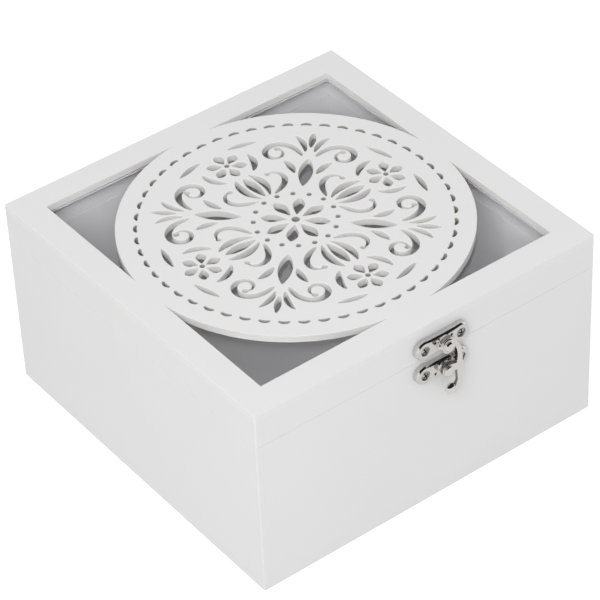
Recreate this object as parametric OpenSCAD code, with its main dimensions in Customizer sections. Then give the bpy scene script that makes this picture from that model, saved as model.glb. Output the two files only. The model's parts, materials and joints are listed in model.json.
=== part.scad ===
// Square keepsake box for wedding cards.
// A mitred body with a let-in base carries a hinged lid whose frame and round
// pierced field are cut from one sheet over a glass pane. A swing hook on the
// front holds the lid shut. Millimetres, +Z up, front face towards -Y.
// The origin is the middle of the underside.

/* [Body] */
// Width of the box, left to right
box_w = 200; // [170:1:300]
// Depth of the box, front to back
box_d = 200; // [170:1:300]
// Height of the body without its lid
body_h = 88; // [60:1:160]
// Thickness of the body's four boards
wall_t = 9; // [7:0.5:15]
// Thickness of the base panel
base_t = 3; // [2:0.5:6]
// How far the base panel is let into the boards
base_lap = 4.5; // [2:0.5:6]

/* [Lid] */
// Gap between the body's rim and the closed lid
lid_gap = 0.3; // [0.2:0.05:0.6]
// Height of the lid's rails under the top sheet
rail_h = 15.4; // [14:0.1:30]
// Thickness of the lid's rails
rail_t = 9; // [7:0.5:13]
// Thickness of the pierced top sheet
sheet_t = 4; // [2.5:0.5:6]
// Width of the sheet's square frame
frame_w = 14.7; // [14:0.1:30]
// How far the round field runs into the frame at each side
disc_lap = 0.7; // [0.3:0.1:3]

/* [Glass] */
// Thickness of the pane under the sheet
glass_t = 2; // [1.5:0.5:3]
// Gap between the pane's edge and the rails
glass_clear = 0.5; // [0.2:0.1:1.5]
// Width of the beads that hold the pane
bead_w = 5; // [3:0.5:5]
// Height of the beads that hold the pane
bead_h = 5; // [3:0.5:6]

/* [Fretwork] */
// Distance from the round field's edge to the ring of crescents
ring_inset = 9.5; // [6:0.5:12]
// Spacing of the crescents along their ring
ring_pitch = 9.25; // [7:0.25:14]
// Length of one crescent along its curve
crescent_len = 5.3; // [3:0.1:6]
// Greatest width of one crescent
crescent_w = 1.5; // [1:0.1:2]
// Distance from the round field's edge to the pierced pattern
fret_inset = 15; // [12:0.5:30]
// Half the width of the narrowest end of a cut
cut_tip = 0.3; // [0.2:0.05:0.4]

/* [Hinges] */
// Distance of each hinge's middle from the middle of the back
hinge_x = 62; // [30:1:65]
// Length of a hinge along its pin
hinge_len = 25; // [20:1:32]
// Height of a leaf from the pin's axis
leaf_h = 12.5; // [11:0.5:14]
// Thickness of a leaf
leaf_t = 1; // [0.8:0.1:1.5]
// Outer radius of a knuckle
knuckle_r = 1.9; // [1.7:0.1:2.4]
// Radius of the hinge pin
hinge_pin_r = 0.9; // [0.6:0.05:1.1]
// Number of knuckles in a hinge
knuckles = 5; // [3:2:5]
// Distance between the two screws of a leaf
leaf_screw_gap = 15; // [10:1:16]
// Radius of a hinge screw's head
leaf_head_r = 2.1; // [1.7:0.1:2.4]

/* [Latch] */
// Distance of the latch from the middle of the front, to the right
latch_x = 5.2; // [-40:0.2:40]
// Width of both latch plates
plate_w = 31.5; // [27:0.5:36]
// Height of both latch plates
plate_h = 10.3; // [9:0.1:11]
// How far both latch plates stand out
plate_t = 3.3; // [2.8:0.1:5]
// How much narrower a plate is between its two round ends, on each side
plate_waist = 0.4; // [0.3:0.1:1.2]
// Height of the lid plate's middle above the parting line
lid_plate_up = 7.3; // [6:0.1:8]
// Depth of the body plate's middle below the parting line
body_plate_down = 7.4; // [6:0.2:12]
// Radius of the post's neck, round which the hook closes
neck_r = 2.1; // [1.6:0.1:2.3]
// Radius of the post's head, where it holds the hook
post_head_r = 3.8; // [3.2:0.1:4.2]
// Radius of the button that stands on the post's head
button_r = 2.8; // [2:0.1:3]
// Thickness of the hook's arm
hook_t = 2.2; // [1.6:0.1:3]
// Radius of the rivet on which the hook turns
rivet_r = 1.5; // [1.1:0.1:1.8]
// Radius of a latch screw's head
latch_head_r = 2.1; // [1.7:0.1:2.3]
// Radius of the hook's round finger pad
pad_r = 3.3; // [3:0.1:4.5]

/* [Fasteners and fits] */
// Radius of the shank of every screw
shank_r = 1.1; // [0.8:0.05:1.4]
// Wood left between a screw's tip and the inner face
tip_cover = 1.6; // [1:0.1:3]
// Radial clearance of every pin, rivet and screw in its hole
pin_clear = 0.05; // [0.02:0.01:0.1]
// Gap between faces that slide or turn past each other
run_gap = 0.3; // [0.2:0.05:0.4]

/* [Hidden] */
$fn = 48;
eps = 1;

// Levels
parting_z = body_h + lid_gap / 2;
rail_z = body_h + lid_gap;
sheet_z = rail_z + rail_h;
glass_z = sheet_z - glass_t;
bead_z = glass_z - bead_h;

// Top sheet: half sizes of its window, then the rings of its round field
window_x = box_w / 2 - frame_w;
window_y = box_d / 2 - frame_w;
disc_r = min(window_x, window_y) + disc_lap;
ring_r = disc_r - ring_inset;
fret_r = disc_r - fret_inset;
drawn_r = 71;               // field radius at which the motifs are drawn
crescent_bend = 13.2;       // degrees of turn per mm along a crescent
disc_sides = 180;
cut_steps = 10;             // points along one side of a plain cut
scroll_steps = 22;          // points along one side of a scroll

// Hinge: its axis, and the length of one knuckle
hinge_y = box_d / 2 + run_gap + knuckle_r;
knuckle_len = (hinge_len - (knuckles - 1) * run_gap) / knuckles;
pin_head_h = 0.6;
pin_head_lip = 0.4;         // how far a pin's head stands out round the pin
leaf_screw_lift = 0.6;      // screws above the middle of the leaf's flat part
leaf_screw_z = (leaf_h + knuckle_r) / 2 + leaf_screw_lift;

// Latch levels, measured out from the front face
lobe_x = (plate_w - plate_h) / 2;
edge_bevel = 0.8;           // bevel round a plate's face
edge_draft = 0.2;           // taper of a plate's side
recess_t = 1.2;             // depth of a screw's seat
screw_head_t = 1.1;         // height of a latch screw's head
screw_brim_t = 0.4;         // height of the head's upright rim
screw_head_round = 0.8;     // rounding of the head's edge
collar_t = 1.1;
collar_r = 4;
boss_r = 3;
hook_w0 = plate_t + collar_t + run_gap;
hook_w1 = hook_w0 + hook_t;
head_w0 = hook_w1 + run_gap;
head_t = 0.4;
button_t = 1;               // how far the button stands out of the head
button_round = 0.5;         // rounding of the button's edge
hub_r = 3.4;
hub_rise = 0.3;             // how far the hub stands above the arm
hub_step = 0.5;             // shoulder round the hub
rivet_head_r = 2.8;
rivet_head_t = 0.9;
dome_flat_r = 0.6;          // flat top of the rivet's and the pad's domes
pad_rise = 0.4;             // how far the pad's dome stands above the arm
pad_rim = 0.4;              // flat rim round the pad's dome
pierce_r = 1.1;
pierce_x = 4.8;
pierce_y = 2.3;
hook_reach = lid_plate_up + body_plate_down;
hook_opening = 80;          // degrees over which the hook's mouth clears the post
curl_w = 2.3;
curl_r = neck_r + run_gap + curl_w / 2;

// Hook: middle line and width of its arm from the curl to the pad,
// as [right of the pivot, above the pivot, width]
hub_neck = [6.8, 0];        // where the hub's web meets the arm
arm_points = [
    [4.3, hook_reach - 0.6, 2.4],
    [5.5, hook_reach - 2.5, 2.6],
    [6.5, hook_reach - 5, 2.9],
    [7, hook_reach - 8.5, 3],
    [hub_neck[0], hub_neck[1], 3.6],
    [6.85, -5, 3],
    [7, -8.8, 2.9],
    [6.4, -10.7, 2.8],
    [5.2, -12.2, 2.8],
    [4.2, -13.4, 2.8]];
pad_place = [2.5, -13.4];
hook_fillet = 0.8;

function reversed(v) = [for (i = [len(v) - 1:-1:0]) v[i]];

// Heading, in degrees, after a distance s along a curve whose bend runs from bend[0] to bend[1]
function heading(aim, bend, length, s) =
    aim + bend[0] * s + (bend[1] - bend[0]) * s * s / (2 * length);

// Points along that curve, from its start
function course(from, aim, length, bend, n) =
    let (step = length / n)
    [for (i = 0, p = from; i <= n;
          p = p + step * [cos(heading(aim, bend, length, (i + 0.5) * step)),
                          sin(heading(aim, bend, length, (i + 0.5) * step))],
          i = i + 1) p];

// Half the width of a cut at a share t of its length, widest at the share belly
function half_width(t, width, belly) =
    cut_tip + (width / 2 - cut_tip) * pow(sin(180 * pow(t, ln(0.5) / ln(belly))), 0.85);

// One side of a cut: its middle line moved sideways by half its width
function cut_side(from, aim, length, width, bend, belly, n, hand) =
    let (middle = course(from, aim, length, bend, n))
    [for (i = [0:n])
        let (a = heading(aim, bend, length, i * length / n))
        middle[i] + hand * half_width(i / n, width, belly) * [-sin(a), cos(a)]];

// Point on a smooth curve through p1 and p2, at a share t between them
function smooth_point(p0, p1, p2, p3, t) =
    0.5 * (2 * p1 + (p2 - p0) * t
        + (2 * p0 - 5 * p1 + 4 * p2 - p3) * t * t
        + (3 * p1 - p0 - 3 * p2 + p3) * t * t * t);

function smooth_line(v, n) =
    let (last = len(v) - 1)
    [for (i = [0:last - 1], k = [0:n - (i == last - 1 ? 0 : 1)])
        smooth_point(v[max(i - 1, 0)], v[i], v[i + 1], v[min(i + 2, last)], k / n)];

// One side of a strip whose middle line holds [x, y, width]
function strip_side(v, hand) =
    [for (i = [0:len(v) - 1])
        let (d = v[min(i + 1, len(v) - 1)] - v[max(i - 1, 0)], a = atan2(d[1], d[0]))
        [v[i][0], v[i][1]] + hand * v[i][2] / 2 * [-sin(a), cos(a)]];

// ---- Boards ----

// Board whose outer face lies on the XZ plane and whose ends are mitred
module mitred_board(length, thick, high) {
    linear_extrude(high)
        polygon([[-length / 2, 0], [length / 2, 0],
                 [length / 2 - thick, thick], [-length / 2 + thick, thick]]);
}

module front_place() translate([0, -box_d / 2, 0]) children();
module back_place() translate([0, box_d / 2, 0]) rotate(180) children();
module left_place() translate([-box_w / 2, 0, 0]) rotate(-90) children();
module right_place() translate([box_w / 2, 0, 0]) rotate(90) children();

module base_recess() {
    translate([0, 0, (base_t - eps) / 2])
        cube([box_w - 2 * (wall_t - base_lap), box_d - 2 * (wall_t - base_lap), base_t + eps], center = true);
}

module body_front() color([0.93, 0.93, 0.92]) {
    difference() {
        front_place() mitred_board(box_w, wall_t, body_h);
        base_recess();
        latch_place(-body_plate_down) pilot_holes(lobe_x, wall_t);
    }
}
module body_back() color([0.93, 0.93, 0.92]) {
    difference() {
        back_place() mitred_board(box_w, wall_t, body_h);
        base_recess();
        both_hinges() mirror([0, 0, 1]) leaf_screw_places() pilot_hole(wall_t);
    }
}
module body_left() color([0.93, 0.93, 0.92]) {
    difference() {
        left_place() mitred_board(box_d, wall_t, body_h);
        base_recess();
    }
}
module body_right() color([0.93, 0.93, 0.92]) {
    difference() {
        right_place() mitred_board(box_d, wall_t, body_h);
        base_recess();
    }
}
module base_panel() color([0.9, 0.9, 0.89]) {
    translate([0, 0, base_t / 2])
        cube([box_w - 2 * (wall_t - base_lap) - 2 * run_gap,
              box_d - 2 * (wall_t - base_lap) - 2 * run_gap, base_t], center = true);
}

// ---- Lid rails, glass and beads ----

module at_rails() translate([0, 0, rail_z]) children();

module lid_rail_front() color([0.93, 0.93, 0.92]) {
    difference() {
        at_rails() front_place() mitred_board(box_w, rail_t, rail_h);
        latch_place(lid_plate_up) pilot_holes(lobe_x, rail_t);
    }
}
module lid_rail_back() color([0.93, 0.93, 0.92]) {
    difference() {
        at_rails() back_place() mitred_board(box_w, rail_t, rail_h);
        both_hinges() leaf_screw_places() pilot_hole(rail_t);
    }
}
module lid_rail_left() color([0.93, 0.93, 0.92]) {
    at_rails() left_place() mitred_board(box_d, rail_t, rail_h);
}
module lid_rail_right() color([0.93, 0.93, 0.92]) {
    at_rails() right_place() mitred_board(box_d, rail_t, rail_h);
}

module glass_pane() color([0.72, 0.8, 0.86, 0.4]) {
    translate([0, 0, glass_z + glass_t / 2])
        cube([box_w - 2 * (rail_t + glass_clear), box_d - 2 * (rail_t + glass_clear), glass_t], center = true);
}

// Beads: mitred strips glued to the rails under the pane
module at_beads() translate([0, 0, bead_z]) children();

module bead_front() color([0.91, 0.91, 0.9]) {
    at_beads() front_place() translate([0, rail_t, 0]) mitred_board(box_w - 2 * rail_t, bead_w, bead_h);
}
module bead_back() color([0.91, 0.91, 0.9]) {
    at_beads() back_place() translate([0, rail_t, 0]) mitred_board(box_w - 2 * rail_t, bead_w, bead_h);
}
module bead_left() color([0.91, 0.91, 0.9]) {
    at_beads() left_place() translate([0, rail_t, 0]) mitred_board(box_d - 2 * rail_t, bead_w, bead_h);
}
module bead_right() color([0.91, 0.91, 0.9]) {
    at_beads() right_place() translate([0, rail_t, 0]) mitred_board(box_d - 2 * rail_t, bead_w, bead_h);
}

// ---- Pierced top sheet ----

// One cut of the fretwork: a curved stroke with narrow ends, with a round drop at its far end if ball > 0
module cut(from, aim, length, width, bend = [0, 0], belly = 0.5, ball = 0, n = cut_steps) {
    polygon(concat(
        cut_side(from, aim, length, width, bend, belly, n, 1),
        reversed(cut_side(from, aim, length, width, bend, belly, n, -1))));
    if (ball > 0) translate(course(from, aim, length, bend, n)[n]) circle(r = ball, $fn = 20);
}

module mirrored_pair() {
    children();
    mirror([1, 0]) children();
}
module four_ways() for (q = [0:3]) rotate(90 * q) children();

// Petals round a plain middle with a small round eye
module blossom(petals, inner, length, width, eye) {
    for (i = [0:petals - 1])
        rotate(90 + i * 360 / petals)
            cut(from = [inner, 0], aim = 0, length = length, width = width, belly = 0.6, n = 8);
    circle(r = eye, $fn = 20);
}

module middle_rosette() {
    dots = 16;
    dot_ring_r = 20.2;
    dot_r = 1.05;
    blossom(petals = 8, inner = 4.2, length = 12.6, width = 5.8, eye = 1.8);
    for (i = [0:dots - 1]) rotate((i + 0.5) * 360 / dots) translate([dot_ring_r, 0]) circle(r = dot_r, $fn = 16);
}

// Tulip, its curling sepals and a small blossom above, on each axis
module axis_spray() {
    cut(from = [0, 24], aim = 90, length = 17.5, width = 5.2, belly = 0.55);
    mirrored_pair() {
        cut(from = [2.5, 23.5], aim = 56, length = 20, width = 4, bend = [3, 3], belly = 0.55);
        cut(from = [5, 22.5], aim = 20, length = 24.5, width = 3, bend = [-1, 15],
            belly = 0.4, ball = 1.3, n = scroll_steps);
        cut(from = [7.8, 43.9], aim = 35, length = 14.5, width = 3.4, bend = [4.2, 4.2]);
        cut(from = [8.5, 65.5], aim = -4, length = 15, width = 3, bend = [-2.2, 0.6]);
    }
    translate([0, 55]) blossom(petals = 6, inner = 2.3, length = 7.6, width = 4.9, eye = 1.1);
}

// Long leaf, two scrolls and a fan of leaves, on each diagonal
module diagonal_spray() {
    rotate(-45) {
        cut(from = [0, 26.5], aim = 90, length = 22, width = 7);
        cut(from = [0, 57.5], aim = 90, length = 12, width = 3.4);
        mirrored_pair() {
            cut(from = [2.3, 54], aim = 84, length = 14, width = 3, bend = [-2.5, -4]);
            cut(from = [3.4, 50.5], aim = 60, length = 45, width = 3.5, bend = [-1.5, -17],
                belly = 0.35, ball = 1.5, n = scroll_steps);
            cut(from = [5.4, 36.5], aim = 70, length = 11.5, width = 3.6, bend = [-2, -3]);
        }
    }
}

module fretwork() {
    middle_rosette();
    four_ways() {
        axis_spray();
        diagonal_spray();
    }
}

module crescent_ring() {
    count = round(2 * PI * ring_r / ring_pitch);
    turn = crescent_bend * crescent_len;
    arc_r = 180 / PI / crescent_bend;
    for (i = [0:count - 1])
        rotate(i * 360 / count)
            translate([ring_r - arc_r * (1 - cos(turn / 2)), 0])
                cut(from = [0, -arc_r * sin(turn / 2)], aim = 90 - turn / 2, length = crescent_len,
                    width = crescent_w, bend = [crescent_bend, crescent_bend], n = 6);
}

module lid_top_sheet() color([0.95, 0.95, 0.94]) {
    translate([0, 0, sheet_z]) linear_extrude(sheet_t) difference() {
        union() {
            difference() {
                square([box_w, box_d], center = true);
                square([2 * window_x, 2 * window_y], center = true);
            }
            circle(r = disc_r, $fn = disc_sides);
        }
        scale(fret_r / drawn_r) fretwork();
        crescent_ring();
    }
}

// ---- Screws ----

// Pointed shank of a screw, along -Z from the origin
module screw_shank(length) {
    tip = 2 * shank_r;
    rotate_extrude()
        polygon([[0, 0], [shank_r, 0], [shank_r, tip - length], [0, -length]]);
}
module pilot_hole(depth) {
    rotate([-90, 0, 0]) translate([0, 0, -eps]) cylinder(r = shank_r + pin_clear, h = depth - tip_cover + eps + pin_clear);
}

// ---- Hinges ----

module both_hinges() for (s = [-1, 1]) hinge_place(s) children();
module hinge_place(s) translate([s * hinge_x, hinge_y, parting_z]) children();

// Screw places of a leaf, on the back face, with -Y pointing into the wood
module leaf_screw_places() {
    for (s = [-1, 1])
        translate([s * leaf_screw_gap / 2, -knuckle_r - run_gap, leaf_screw_z]) mirror([0, 1, 0]) children();
}

// Leaf above the pin's axis, with every second knuckle from the one numbered first
module hinge_leaf(first) {
    back = -knuckle_r - run_gap;
    difference() {
        union() {
            translate([-hinge_len / 2, back, knuckle_r + run_gap])
                cube([hinge_len, leaf_t, leaf_h - knuckle_r - run_gap]);
            for (i = [first:2:knuckles - 1])
                translate([-hinge_len / 2 + i * (knuckle_len + run_gap), 0, 0]) {
                    translate([0, back, lid_gap / 2]) cube([knuckle_len, leaf_t, leaf_h / 2]);
                    rotate([0, 90, 0]) cylinder(r = knuckle_r, h = knuckle_len);
                }
        }
        translate([-hinge_len / 2 - eps, 0, 0]) rotate([0, 90, 0])
            cylinder(r = hinge_pin_r + pin_clear, h = hinge_len + 2 * eps);
        leaf_screw_places() rotate([90, 0, 0]) translate([0, 0, leaf_t / 2]) {
            cylinder(r1 = shank_r + pin_clear, r2 = leaf_head_r + pin_clear, h = leaf_t, center = true);
            cylinder(r = shank_r + pin_clear, h = leaf_t + 2 * eps, center = true);
        }
    }
}

module hinge_pin() {
    translate([-hinge_len / 2, 0, 0]) rotate([0, 90, 0]) {
        cylinder(r = hinge_pin_r, h = hinge_len);
        for (z = [-pin_head_h, hinge_len]) translate([0, 0, z]) cylinder(r = hinge_pin_r + pin_head_lip, h = pin_head_h);
    }
}

// Flush screw: its cone fills the leaf and its shank runs into the board
module leaf_screw(board_t) {
    rotate([90, 0, 0]) {
        cylinder(r1 = shank_r, r2 = leaf_head_r, h = leaf_t);
        screw_shank(board_t - tip_cover);
    }
}

module hinge_left_body_leaf() color([0.75, 0.75, 0.74]) hinge_place(-1) mirror([0, 0, 1]) hinge_leaf(0);
module hinge_right_body_leaf() color([0.75, 0.75, 0.74]) hinge_place(1) mirror([0, 0, 1]) hinge_leaf(0);
module hinge_left_lid_leaf() color([0.75, 0.75, 0.74]) hinge_place(-1) hinge_leaf(1);
module hinge_right_lid_leaf() color([0.75, 0.75, 0.74]) hinge_place(1) hinge_leaf(1);
module hinge_left_pin() color([0.7, 0.7, 0.7]) hinge_place(-1) hinge_pin();
module hinge_right_pin() color([0.7, 0.7, 0.7]) hinge_place(1) hinge_pin();
module hinge_body_screws() color([0.7, 0.7, 0.7]) {
    both_hinges() mirror([0, 0, 1]) leaf_screw_places() leaf_screw(wall_t);
}
module hinge_lid_screws() color([0.7, 0.7, 0.7]) {
    both_hinges() leaf_screw_places() leaf_screw(rail_t);
}

// ---- Latch ----

// Frame on the front face at a height above the parting line: X right, Y up, Z out of the face
module latch_place(up) translate([latch_x, -box_d / 2, parting_z + up]) rotate([90, 0, 0]) children();

module pilot_holes(dx, depth) {
    for (s = [-1, 1])
        translate([s * dx, 0, -(depth - tip_cover) - pin_clear])
            cylinder(r = shank_r + pin_clear, h = depth - tip_cover + pin_clear + eps);
}

// Half section of a plate with its bevelled edge, from its middle out to a half width r
function plate_section(r) = [
    [0, 0], [r, 0], [r - edge_draft, plate_t - edge_bevel],
    [r - edge_draft - edge_bevel, plate_t], [0, plate_t]];

// Quarter of a rounded edge, from its side at r up to its top at z
function rounded_edge(r, z, wide, high) =
    [for (a = [0:18:90]) [r - wide * (1 - cos(a)), z - high * (1 - sin(a))]];

// Two round ends joined by a narrower waist, with seats for two screws and two small piercings
module latch_plate(outward) {
    waist = plate_h / 2 - plate_waist;
    difference() {
        union() {
            for (s = [-1, 1]) translate([s * lobe_x, 0, 0]) rotate_extrude() polygon(plate_section(plate_h / 2));
            for (s = [0, 1]) mirror([0, s, 0])
                translate([-lobe_x, 0, 0]) rotate([90, 0, 90]) linear_extrude(2 * lobe_x)
                    polygon(plate_section(waist));
        }
        for (s = [-1, 1]) {
            translate([s * lobe_x, 0, plate_t - recess_t]) cylinder(r = latch_head_r + run_gap, h = recess_t + eps);
            translate([s * lobe_x, 0, -eps]) cylinder(r = shank_r + pin_clear, h = plate_t + 2 * eps);
            translate([s * pierce_x, outward * pierce_y, -eps]) rotate(outward * 90)
                cylinder(r = pierce_r, h = plate_t + 2 * eps, $fn = 3);
        }
        translate([0, 0, -eps]) cylinder(r = rivet_r + pin_clear, h = plate_t + 2 * eps);
    }
}

// Round-headed screw seated in a plate
module latch_screw(board_t) {
    translate([0, 0, plate_t - recess_t]) {
        rotate_extrude() polygon(concat(
            [[0, 0], [latch_head_r, 0]],
            rounded_edge(latch_head_r, screw_head_t, screw_head_round, screw_head_t - screw_brim_t),
            [[0, screw_head_t]]));
        screw_shank(board_t - tip_cover + plate_t - recess_t);
    }
}

module latch_lid_plate() color([0.8, 0.79, 0.76]) latch_place(lid_plate_up) latch_plate(1);
module latch_body_plate() color([0.8, 0.79, 0.76]) {
    latch_place(-body_plate_down) {
        latch_plate(-1);
        translate([0, 0, plate_t]) difference() {
            cylinder(r = boss_r, h = collar_t);
            translate([0, 0, -eps]) cylinder(r = rivet_r + pin_clear, h = collar_t + 2 * eps);
        }
    }
}

// Post: spigot in the plate, collar, neck, and a head with a rounded button on it
module latch_post() color([0.8, 0.79, 0.76]) {
    head_w1 = head_w0 + head_t;
    button_w = head_w1 + button_t;
    latch_place(lid_plate_up) rotate_extrude() polygon(concat(
        [[0, 0], [rivet_r, 0], [rivet_r, plate_t], [collar_r, plate_t], [collar_r, plate_t + collar_t],
         [neck_r, plate_t + collar_t], [neck_r, head_w0], [post_head_r, head_w0],
         [post_head_r, head_w1], [button_r, head_w1]],
        rounded_edge(button_r, button_w, button_round, button_round),
        [[0, button_w]]));
}

// Rivet: shank through plate and hook, and a domed head over the hub
module latch_pivot() color([0.8, 0.79, 0.76]) {
    rivet_w0 = hook_w1 + hub_rise + run_gap;
    rivet_w1 = rivet_w0 + rivet_head_t;
    latch_place(-body_plate_down) rotate_extrude() polygon(concat(
        [[0, 0], [rivet_r, 0], [rivet_r, rivet_w0]],
        rounded_edge(rivet_head_r, rivet_w1, rivet_head_r - dome_flat_r, rivet_head_t),
        [[0, rivet_w1]]));
}

// Outline of the hook about its pivot: curl, arm, tail and pad
module hook_outline() {
    curl = [for (a = [170:-20:30]) [curl_r * cos(a), hook_reach + curl_r * sin(a), curl_w]];
    line = smooth_line(concat(curl, arm_points), 3);
    difference() {
        offset(r = -hook_fillet) offset(delta = hook_fillet) {
            polygon(concat(strip_side(line, 1), reversed(strip_side(line, -1))));
            translate([pad_place[0], pad_place[1]]) circle(r = pad_r);
            hull() {
                circle(r = hub_r);
                translate([hub_neck[0], hub_neck[1]]) circle(r = hub_r / 2);
            }
        }
        hook_mouth();
    }
}

// Path of the post's neck past the hook as the hook swings clear, an arc about the pivot
module hook_mouth() {
    half = neck_r + run_gap;
    polygon(concat(
        [for (a = [90:8:90 + hook_opening]) (hook_reach + half) * [cos(a), sin(a)]],
        [for (a = [90 + hook_opening:-8:90]) (hook_reach - half) * [cos(a), sin(a)]],
        [for (a = [-75:15:75]) [half * cos(a), hook_reach + half * sin(a)]]));
}

// Low dome on the finger pad
module pad_dome() {
    dome_r = pad_r - pad_rim;
    rotate_extrude() polygon(concat(
        [[0, 0], [dome_r, 0]],
        rounded_edge(dome_r, hook_t + pad_rise, dome_r - dome_flat_r, 2 * pad_rise),
        [[0, hook_t + pad_rise]]));
}

module latch_hook() color([0.82, 0.81, 0.78]) {
    latch_place(-body_plate_down) difference() {
        union() {
            translate([0, 0, hook_w0]) linear_extrude(hook_t) hook_outline();
            translate([0, 0, hook_w0]) cylinder(r = hub_r - hub_step, h = hook_t + hub_rise);
            translate([pad_place[0], pad_place[1], hook_w0]) pad_dome();
        }
        translate([0, 0, hook_w0 - eps]) cylinder(r = rivet_r + pin_clear, h = hook_t + hub_rise + 2 * eps);
    }
}

module latch_lid_screws() color([0.78, 0.77, 0.75]) {
    latch_place(lid_plate_up) for (s = [-1, 1]) translate([s * lobe_x, 0, 0]) latch_screw(rail_t);
}
module latch_body_screws() color([0.78, 0.77, 0.75]) {
    latch_place(-body_plate_down) for (s = [-1, 1]) translate([s * lobe_x, 0, 0]) latch_screw(wall_t);
}

body_front();
body_back();
body_left();
body_right();
base_panel();
lid_rail_front();
lid_rail_back();
lid_rail_left();
lid_rail_right();
lid_top_sheet();
glass_pane();
bead_front();
bead_back();
bead_left();
bead_right();
hinge_left_body_leaf();
hinge_left_lid_leaf();
hinge_left_pin();
hinge_right_body_leaf();
hinge_right_lid_leaf();
hinge_right_pin();
hinge_body_screws();
hinge_lid_screws();
latch_lid_plate();
latch_post();
latch_lid_screws();
latch_body_plate();
latch_hook();
latch_pivot();
latch_body_screws();
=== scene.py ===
"""Square keepsake box for wedding cards: its finished pieces, its light and its camera.

The box is white painted board with a hinged lid. The lid's top is one pierced
sheet over a glass pane, and a nickel swing hook on the front holds it shut.
All lengths are metres. X runs to the right, Y to the back and Z up, and the
origin is the middle of the box's underside.
"""

import json
import logging
import math
from dataclasses import dataclass, field
from enum import Enum
from typing import Callable, ClassVar, Iterable, Sequence

import bmesh
import bpy
import numpy as np
from mathutils import Matrix, Vector

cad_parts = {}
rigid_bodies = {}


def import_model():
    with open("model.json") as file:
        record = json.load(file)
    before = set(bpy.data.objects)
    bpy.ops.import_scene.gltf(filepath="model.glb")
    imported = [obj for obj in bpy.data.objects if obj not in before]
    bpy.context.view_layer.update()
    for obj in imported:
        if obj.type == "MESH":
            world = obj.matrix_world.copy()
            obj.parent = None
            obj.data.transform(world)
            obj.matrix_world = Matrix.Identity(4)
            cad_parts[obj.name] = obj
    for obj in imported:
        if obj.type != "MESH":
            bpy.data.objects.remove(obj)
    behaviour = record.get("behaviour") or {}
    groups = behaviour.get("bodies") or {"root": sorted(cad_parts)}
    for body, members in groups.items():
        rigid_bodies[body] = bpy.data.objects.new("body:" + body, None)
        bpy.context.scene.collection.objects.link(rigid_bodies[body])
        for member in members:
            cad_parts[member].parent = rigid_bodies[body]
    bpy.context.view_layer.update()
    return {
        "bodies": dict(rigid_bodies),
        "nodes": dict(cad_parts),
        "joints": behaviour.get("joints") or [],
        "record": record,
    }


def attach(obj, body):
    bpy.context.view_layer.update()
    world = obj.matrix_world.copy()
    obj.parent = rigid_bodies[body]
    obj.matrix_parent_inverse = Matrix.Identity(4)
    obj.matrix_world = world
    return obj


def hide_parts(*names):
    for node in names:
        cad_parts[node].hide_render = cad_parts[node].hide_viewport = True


log = logging.getLogger("card_box")

Point = tuple[float, float]
Loop = list[Point]
Field = Callable[[np.ndarray, np.ndarray], np.ndarray]
Mesh, Vertex, Edge = bmesh.types.BMesh, bmesh.types.BMVert, bmesh.types.BMEdge
Tree, Node, Socket = bpy.types.NodeTree, bpy.types.Node, bpy.types.NodeSocket

MM = 0.001

# Kept between pieces that touch, so that no two faces lie in one plane.
SEAT_GAP = 0.02 * MM

# A distance beyond everything drawn, and values that stand for nothing where 0 would fail.
FAR = 1e9
TINY, TINY_SQUARE = 1e-12, 1e-18


class Body(Enum):
    """The parts of the box that move as one."""

    BODY = "body"
    LID = "lid"
    HOOK = "hook"


class Slot(Enum):
    """The finishes of the pieces made here, as the box is sold with them."""

    BOARD = "painted_board"
    SHEET = "painted_sheet"
    BEAD = "painted_bead"
    HINGE = "hinge_steel"
    LATCH = "latch_nickel"
    SCREW = "screw_steel"


class Side(Enum):
    """A side of the box, as a turn in degrees about Z from its front."""

    FRONT = 0
    RIGHT = 90
    BACK = 180
    LEFT = 270


# ---- Plane geometry ----


def round_corners(points: Sequence[tuple[float, float, float]], steps: int = 3) -> Loop:
    """Rounds the corners of a polygon.

    Args:
        points: Corners as (x, y, radius), in order.
        steps: Segments in each rounded corner.

    Returns:
        The rounded polygon, in the same order.
    """
    loop: Loop = []
    count = len(points)
    for i, (x, y, radius) in enumerate(points):
        if radius <= 0:
            loop.append((x, y))
            continue
        corner = Vector((x, y))
        before = (Vector(points[i - 1][:2]) - corner).normalized()
        after = (Vector(points[(i + 1) % count][:2]) - corner).normalized()
        half = before.angle(after) / 2
        centre = corner + (before + after).normalized() * (radius / math.sin(half))
        start = corner + before * (radius / math.tan(half)) - centre
        stop = corner + after * (radius / math.tan(half)) - centre
        turn = start.angle_signed(stop)
        for k in range(steps + 1):
            spoke = Matrix.Rotation(-turn * k / steps, 2) @ start
            loop.append((centre.x + spoke.x, centre.y + spoke.y))
    return loop


def ring_points(centre: Point, radius: float, count: int, first: float = 0.0) -> Loop:
    """Points spaced evenly round a circle, anticlockwise.

    Args:
        centre: Middle of the circle.
        radius: Its radius.
        count: Number of points.
        first: Direction of the first point, in degrees.

    Returns:
        The points.
    """
    spokes = [math.radians(first + 360 * k / count) for k in range(count)]
    return [(centre[0] + radius * math.cos(a), centre[1] + radius * math.sin(a)) for a in spokes]


def signed_area(loop: Loop) -> float:
    """Area of a polygon, positive where it runs anticlockwise."""
    return 0.5 * sum(a[0] * b[1] - b[0] * a[1] for a, b in zip(loop, loop[1:] + loop[:1]))


def oriented(loop: Loop, anticlockwise: bool) -> Loop:
    """The polygon in the wanted direction."""
    return loop if (signed_area(loop) > 0) == anticlockwise else loop[::-1]


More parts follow.
